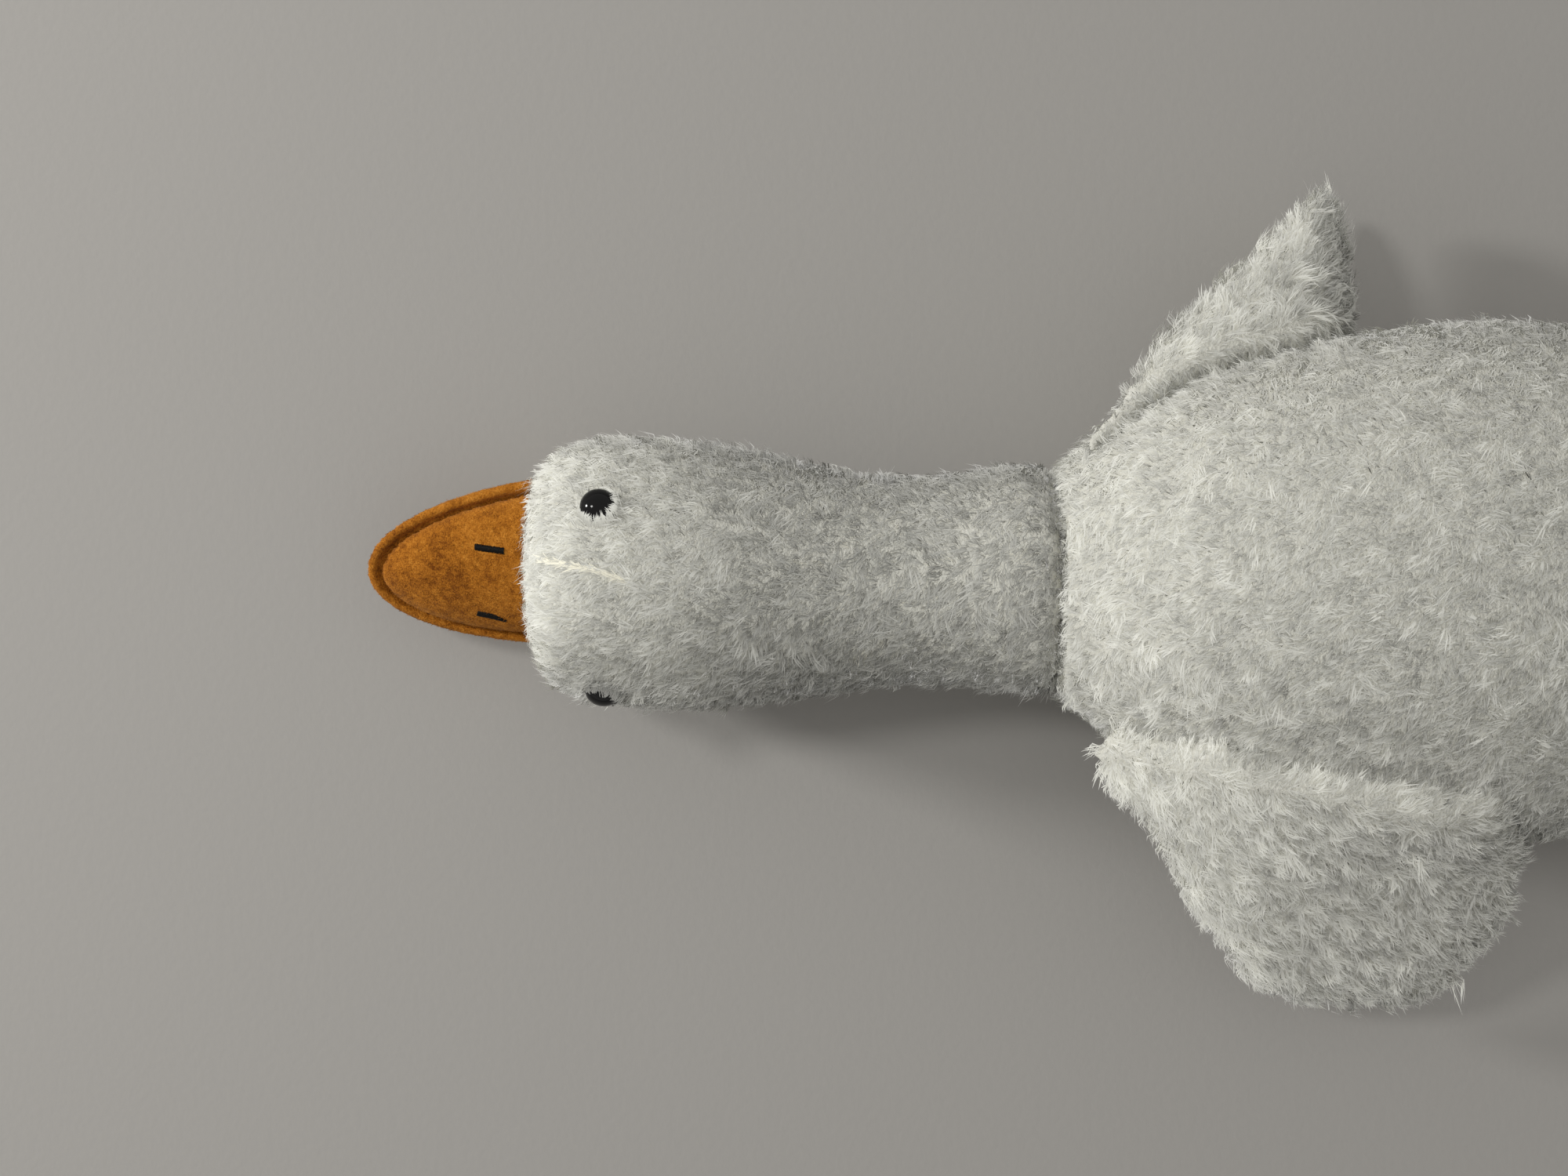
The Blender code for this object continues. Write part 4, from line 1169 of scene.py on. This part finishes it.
def make_ridge(cover, material):
    """The crown seam's ridge: cream strands that lie along it, level with the tips of the pile."""
    skin = BVHTree.FromObject(cover, bpy.context.evaluated_depsgraph_get())
    random = np.random.default_rng(RIDGE["seed"])
    strands = []
    seam = np.array(CROWN_SEAM)
    for first, second in zip(seam, seam[1:]):
        run = second - first
        length = np.linalg.norm(run)
        for strand in range(int(length / RIDGE["step"]) * RIDGE["strands"]):
            step = strand // RIDGE["strands"]
            start = first + run * (step + random.uniform(0, 1)) * RIDGE["step"] / length
            along = -run / length + random.normal(0, RIDGE["loose"], 2)
            start = start + random.uniform(-1, 1, 2) * RIDGE["band"]
            reach = RIDGE["length"] * random.uniform(0.7, 1.1)
            curve = []
            for share, rise in RIDGE_RISE:
                above = Vector((*(start + along * reach * share), RIDGE_PROBE_HEIGHT))
                hit, out, _, _ = skin.ray_cast(above, Vector((0, 0, -1)))
                if hit is None:
                    break
                curve.append(np.array(hit + out * (PILE_DEPTH * rise * random.uniform(0.95, 1.05))))
            if len(curve) == len(RIDGE_RISE):
                strands.append((curve, np.array(out), random.uniform(0.0, RIDGE["tone"])))
    strand_piece("crown_seam_ridge", strands, RIDGE["width"], material)


def thread_tree(material):
    """Makes each drawn line a thread."""
    tree, given = growing_tree("threads", {"Lines": "Geometry", "Diameter": "Float"}, "Threads")
    radius = Number(tree, given["Diameter"]) * 0.5
    ring = tree.out("GeometryNodeCurvePrimitiveCircle", None, {"Resolution": 6, "Radius": radius})
    lines = tree.out("GeometryNodeMeshToCurve", None, {"Mesh": given["Lines"]})
    tubes = tree.out("GeometryNodeCurveToMesh", None,
                     {"Curve": lines, "Profile Curve": ring, "Fill Caps": True})
    shaded = tree.out("GeometryNodeSetShadeSmooth", None, {"Geometry": tubes})
    joined = tree.out("GeometryNodeRealizeInstances", None, {"Geometry": shaded})
    dressed = tree.out("GeometryNodeSetMaterial", None, {"Geometry": joined, "Material": material})
    tree.node("NodeGroupOutput", None, {"Threads": dressed})
    return tree.tree


def make_nostril(side, beak, tree):
    """Satin stitch: threads laid side by side across the bar, over the velour."""
    node = "nostril_" + side
    solid = np.unique(np.round(places(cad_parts[node].data), 7), axis=0)
    middle = solid.mean(axis=0)
    _, _, ways = np.linalg.svd(solid - middle)
    along, across, up = ways
    if up[2] < 0:
        up = -up
    bar = surface_of(node)
    pad = BVHTree.FromObject(beak, bpy.context.evaluated_depsgraph_get())
    spans = (solid - middle) @ along
    rows = []
    count = int((spans.max() - spans.min()) / THREAD_PITCH)
    for step in range(count):
        reach = spans.min() + (step + 0.5) * (spans.max() - spans.min()) / count
        hits = []
        for probe in np.linspace(-STITCH_PROBE_REACH, STITCH_PROBE_REACH, STITCH_PROBES):
            over = middle + along * reach + across * probe + up * STITCH_PROBE_HEIGHT
            hit = bar.ray_cast(Vector(over), Vector(-up), 2 * STITCH_PROBE_HEIGHT)[0]
            if hit is not None:
                hits.append(probe)
        if len(hits) > 2:
            rows.append((reach, (hits[0] + hits[-1]) / 2, hits[-1] - hits[0]))
    width = max(row[2] for row in rows) + STITCH_OVERLAP
    backward = 1 if along[1] > 0 else -1
    points = []
    edges = []
    random = np.random.default_rng(STITCH_SEED)
    for reach, centre, _ in rows:
        from_front = 0.5 + backward * (reach - spans.mean()) / (spans.max() - spans.min())
        narrow = TAPER * max(0.0, from_front - TAPER_START) / (1 - TAPER_START) if side == "left" else 0.0
        half = width / 2 * (1 - narrow)
        loose = random.uniform(-STITCH_LOOSE, STITCH_LOOSE, 2)
        left, right = np.array([centre - half, centre + half]) + loose
        first = len(points)
        for station in range(THREAD_STATIONS):
            share = station / (THREAD_STATIONS - 1)
            side_place = left + (right - left) * share
            slanted = reach + (share - 0.5) * STITCH_SLANT
            over = middle + along * slanted + across * side_place + up * STITCH_PROBE_HEIGHT
            hit = pad.ray_cast(Vector(over), Vector(-up), 3 * STITCH_PROBE_HEIGHT)[0]
            if hit is None:
                hit = Vector(over) - Vector(up) * STITCH_PROBE_HEIGHT
            rise = STITCH_RISE * math.sin(math.pi * share) ** 0.5 - STITCH_SINK
            points.append(hit + Vector(up) * rise)
        edges += [(first + i, first + i + 1) for i in range(THREAD_STATIONS - 1)]
    lines = bpy.data.objects.new("stitches", mesh_from("stitches", points, [], edges))
    piece = grow("stitched_nostril_" + side, lines, tree, {"Diameter": THREAD_DIAMETER})
    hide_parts(node)


def make_stage():
    """The floor that the goose lies on, wider than any view of it."""
    corners = [(x * FLOOR_SIZE, y * FLOOR_SIZE, 0) for x, y in ((-1, -1), (1, -1), (1, 1), (-1, 1))]
    mesh = mesh_from("floor", corners, [(0, 1, 2, 3)])
    mesh.materials.append(floor_finish())
    linked("floor", mesh)


def soft_lamp(name, turn, height, distance, size, energy):
    """A round soft lamp, turned from the beak's side and raised by degrees, that shines on the lit spot."""
    around = math.radians(turn)
    upward = math.radians(height)
    level = math.cos(upward)
    away = Vector((-math.sin(around) * level, -math.cos(around) * level, math.sin(upward)))
    light = bpy.data.lights.new(name, "AREA")
    light.shape = "DISK"
    light.size = size
    light.energy = energy
    light.color = LAMP_COLOUR
    lamp = linked(name, light)
    lamp.location = Vector(LIT_SPOT) + away * distance
    lamp.rotation_euler = (-away).to_track_quat("-Z", "Y").to_euler()


def make_light():
    """The two lamps and the room, whose backdrop is only seen and gives no light."""
    soft_lamp("high_lamp", **HIGH_LAMP)
    soft_lamp("low_lamp", **LOW_LAMP)
    world = bpy.data.worlds.new("room")
    world.use_nodes = True
    world.node_tree.nodes.clear()
    tree = Tree(world.node_tree)
    rays = tree.node("ShaderNodeLightPath").outputs
    seen = Number(tree, rays["Is Camera Ray"])
    seen = seen.at_least(rays["Is Glossy Ray"]).at_least(rays["Is Transmission Ray"])
    light = tree.out("ShaderNodeBackground", None, {"Color": ROOM_COLOUR, "Strength": ROOM_STRENGTH})
    backdrop = tree.out("ShaderNodeBackground", None, {"Color": BACKDROP_COLOUR, "Strength": 1.0})
    both = tree.out("ShaderNodeMixShader", None, {0: seen, 1: light, 2: backdrop})
    tree.node("ShaderNodeOutputWorld", None, {"Surface": both})
    bpy.context.scene.world = world


def make_camera():
    """Looks straight down, with the beak to the left of the picture."""
    data = bpy.data.cameras.new("camera")
    data.sensor_width = SENSOR_WIDTH
    data.lens = CAMERA_LENS
    camera = linked("camera", data)
    right = Vector((0, 1, 0))
    up = Vector((-1, 0, 0))
    back = Vector((0, 0, 1))
    turn = Matrix((right, up, back)).transposed().to_4x4()
    camera.matrix_world = Matrix.Translation(CAMERA_PLACE) @ turn
    bpy.context.scene.camera = camera


def dress_goose():
    """Covers first, puffed together, then the pile and the nap on them, then the small pieces."""
    covers = {node: start_cover(node) for node in FURRY}
    pads = {node: start_pad(node) for node in PADS}
    limits = {piece: COVER_PUFF_LIMIT for piece in covers.values()}
    limits.update({piece: PAD_PUFF_LIMIT for piece in pads.values()})
    run_puffs(limits)
    backing = cover_finish()
    for node, piece in covers.items():
        finish_cover(piece, node, backing)
    velour = velour_finish("orange_velour")
    for node, piece in pads.items():
        finish_cover(piece, node, velour)
    white_pile = pile_finish()
    tree = pile_tree("pile", lock_collection("lock_kinds", LOCK), white_pile)
    for node, piece in covers.items():
        comb(piece, node)
    for index, (name, node, start, end) in enumerate(PATCHES):
        cover = covers[node]
        keep_patch(cover.data, start, end)
        pile = grow(name, cover, tree, {"Spacing": LOCK_SPACING, "Seed": PILE_SEED + index, **LOCK_SWAY})
        pile.visible_shadow = False      # light seeps through real pile and leaves no hard shadow in it
    make_ridge(covers["head_and_neck"], white_pile)
    nap = pile_tree("nap", lock_collection("nap_kinds", NAP), nap_finish())
    for index, (node, pad) in enumerate(pads.items()):
        comb_nap(pad)
        keep_patch(pad.data, -1.0, 1.0)
        spacing = NAP_SPACING["beak" if node.startswith("beak") else "foot"]
        settings = {"Spacing": spacing, "Seed": NAP_SEED + index, **NAP_SWAY}
        grow(node + "_nap", pad, nap, settings)
    for piece in [*covers.values(), *pads.values()]:
        drop_attributes(piece.data)
    eye = eye_finish()
    threads = thread_tree(thread_finish())
    washer = washer_finish()
    for side in ("left", "right"):
        make_eye(side, eye)
        make_fringe(side, white_pile)
        make_nostril(side, pads["beak_upper"], threads)
        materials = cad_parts["eye_washer_" + side].data.materials
        materials.clear()
        materials.append(washer)


make_camera()
make_stage()
make_light()
dress_goose()

bpy.context.scene.view_settings.view_transform = "Standard"
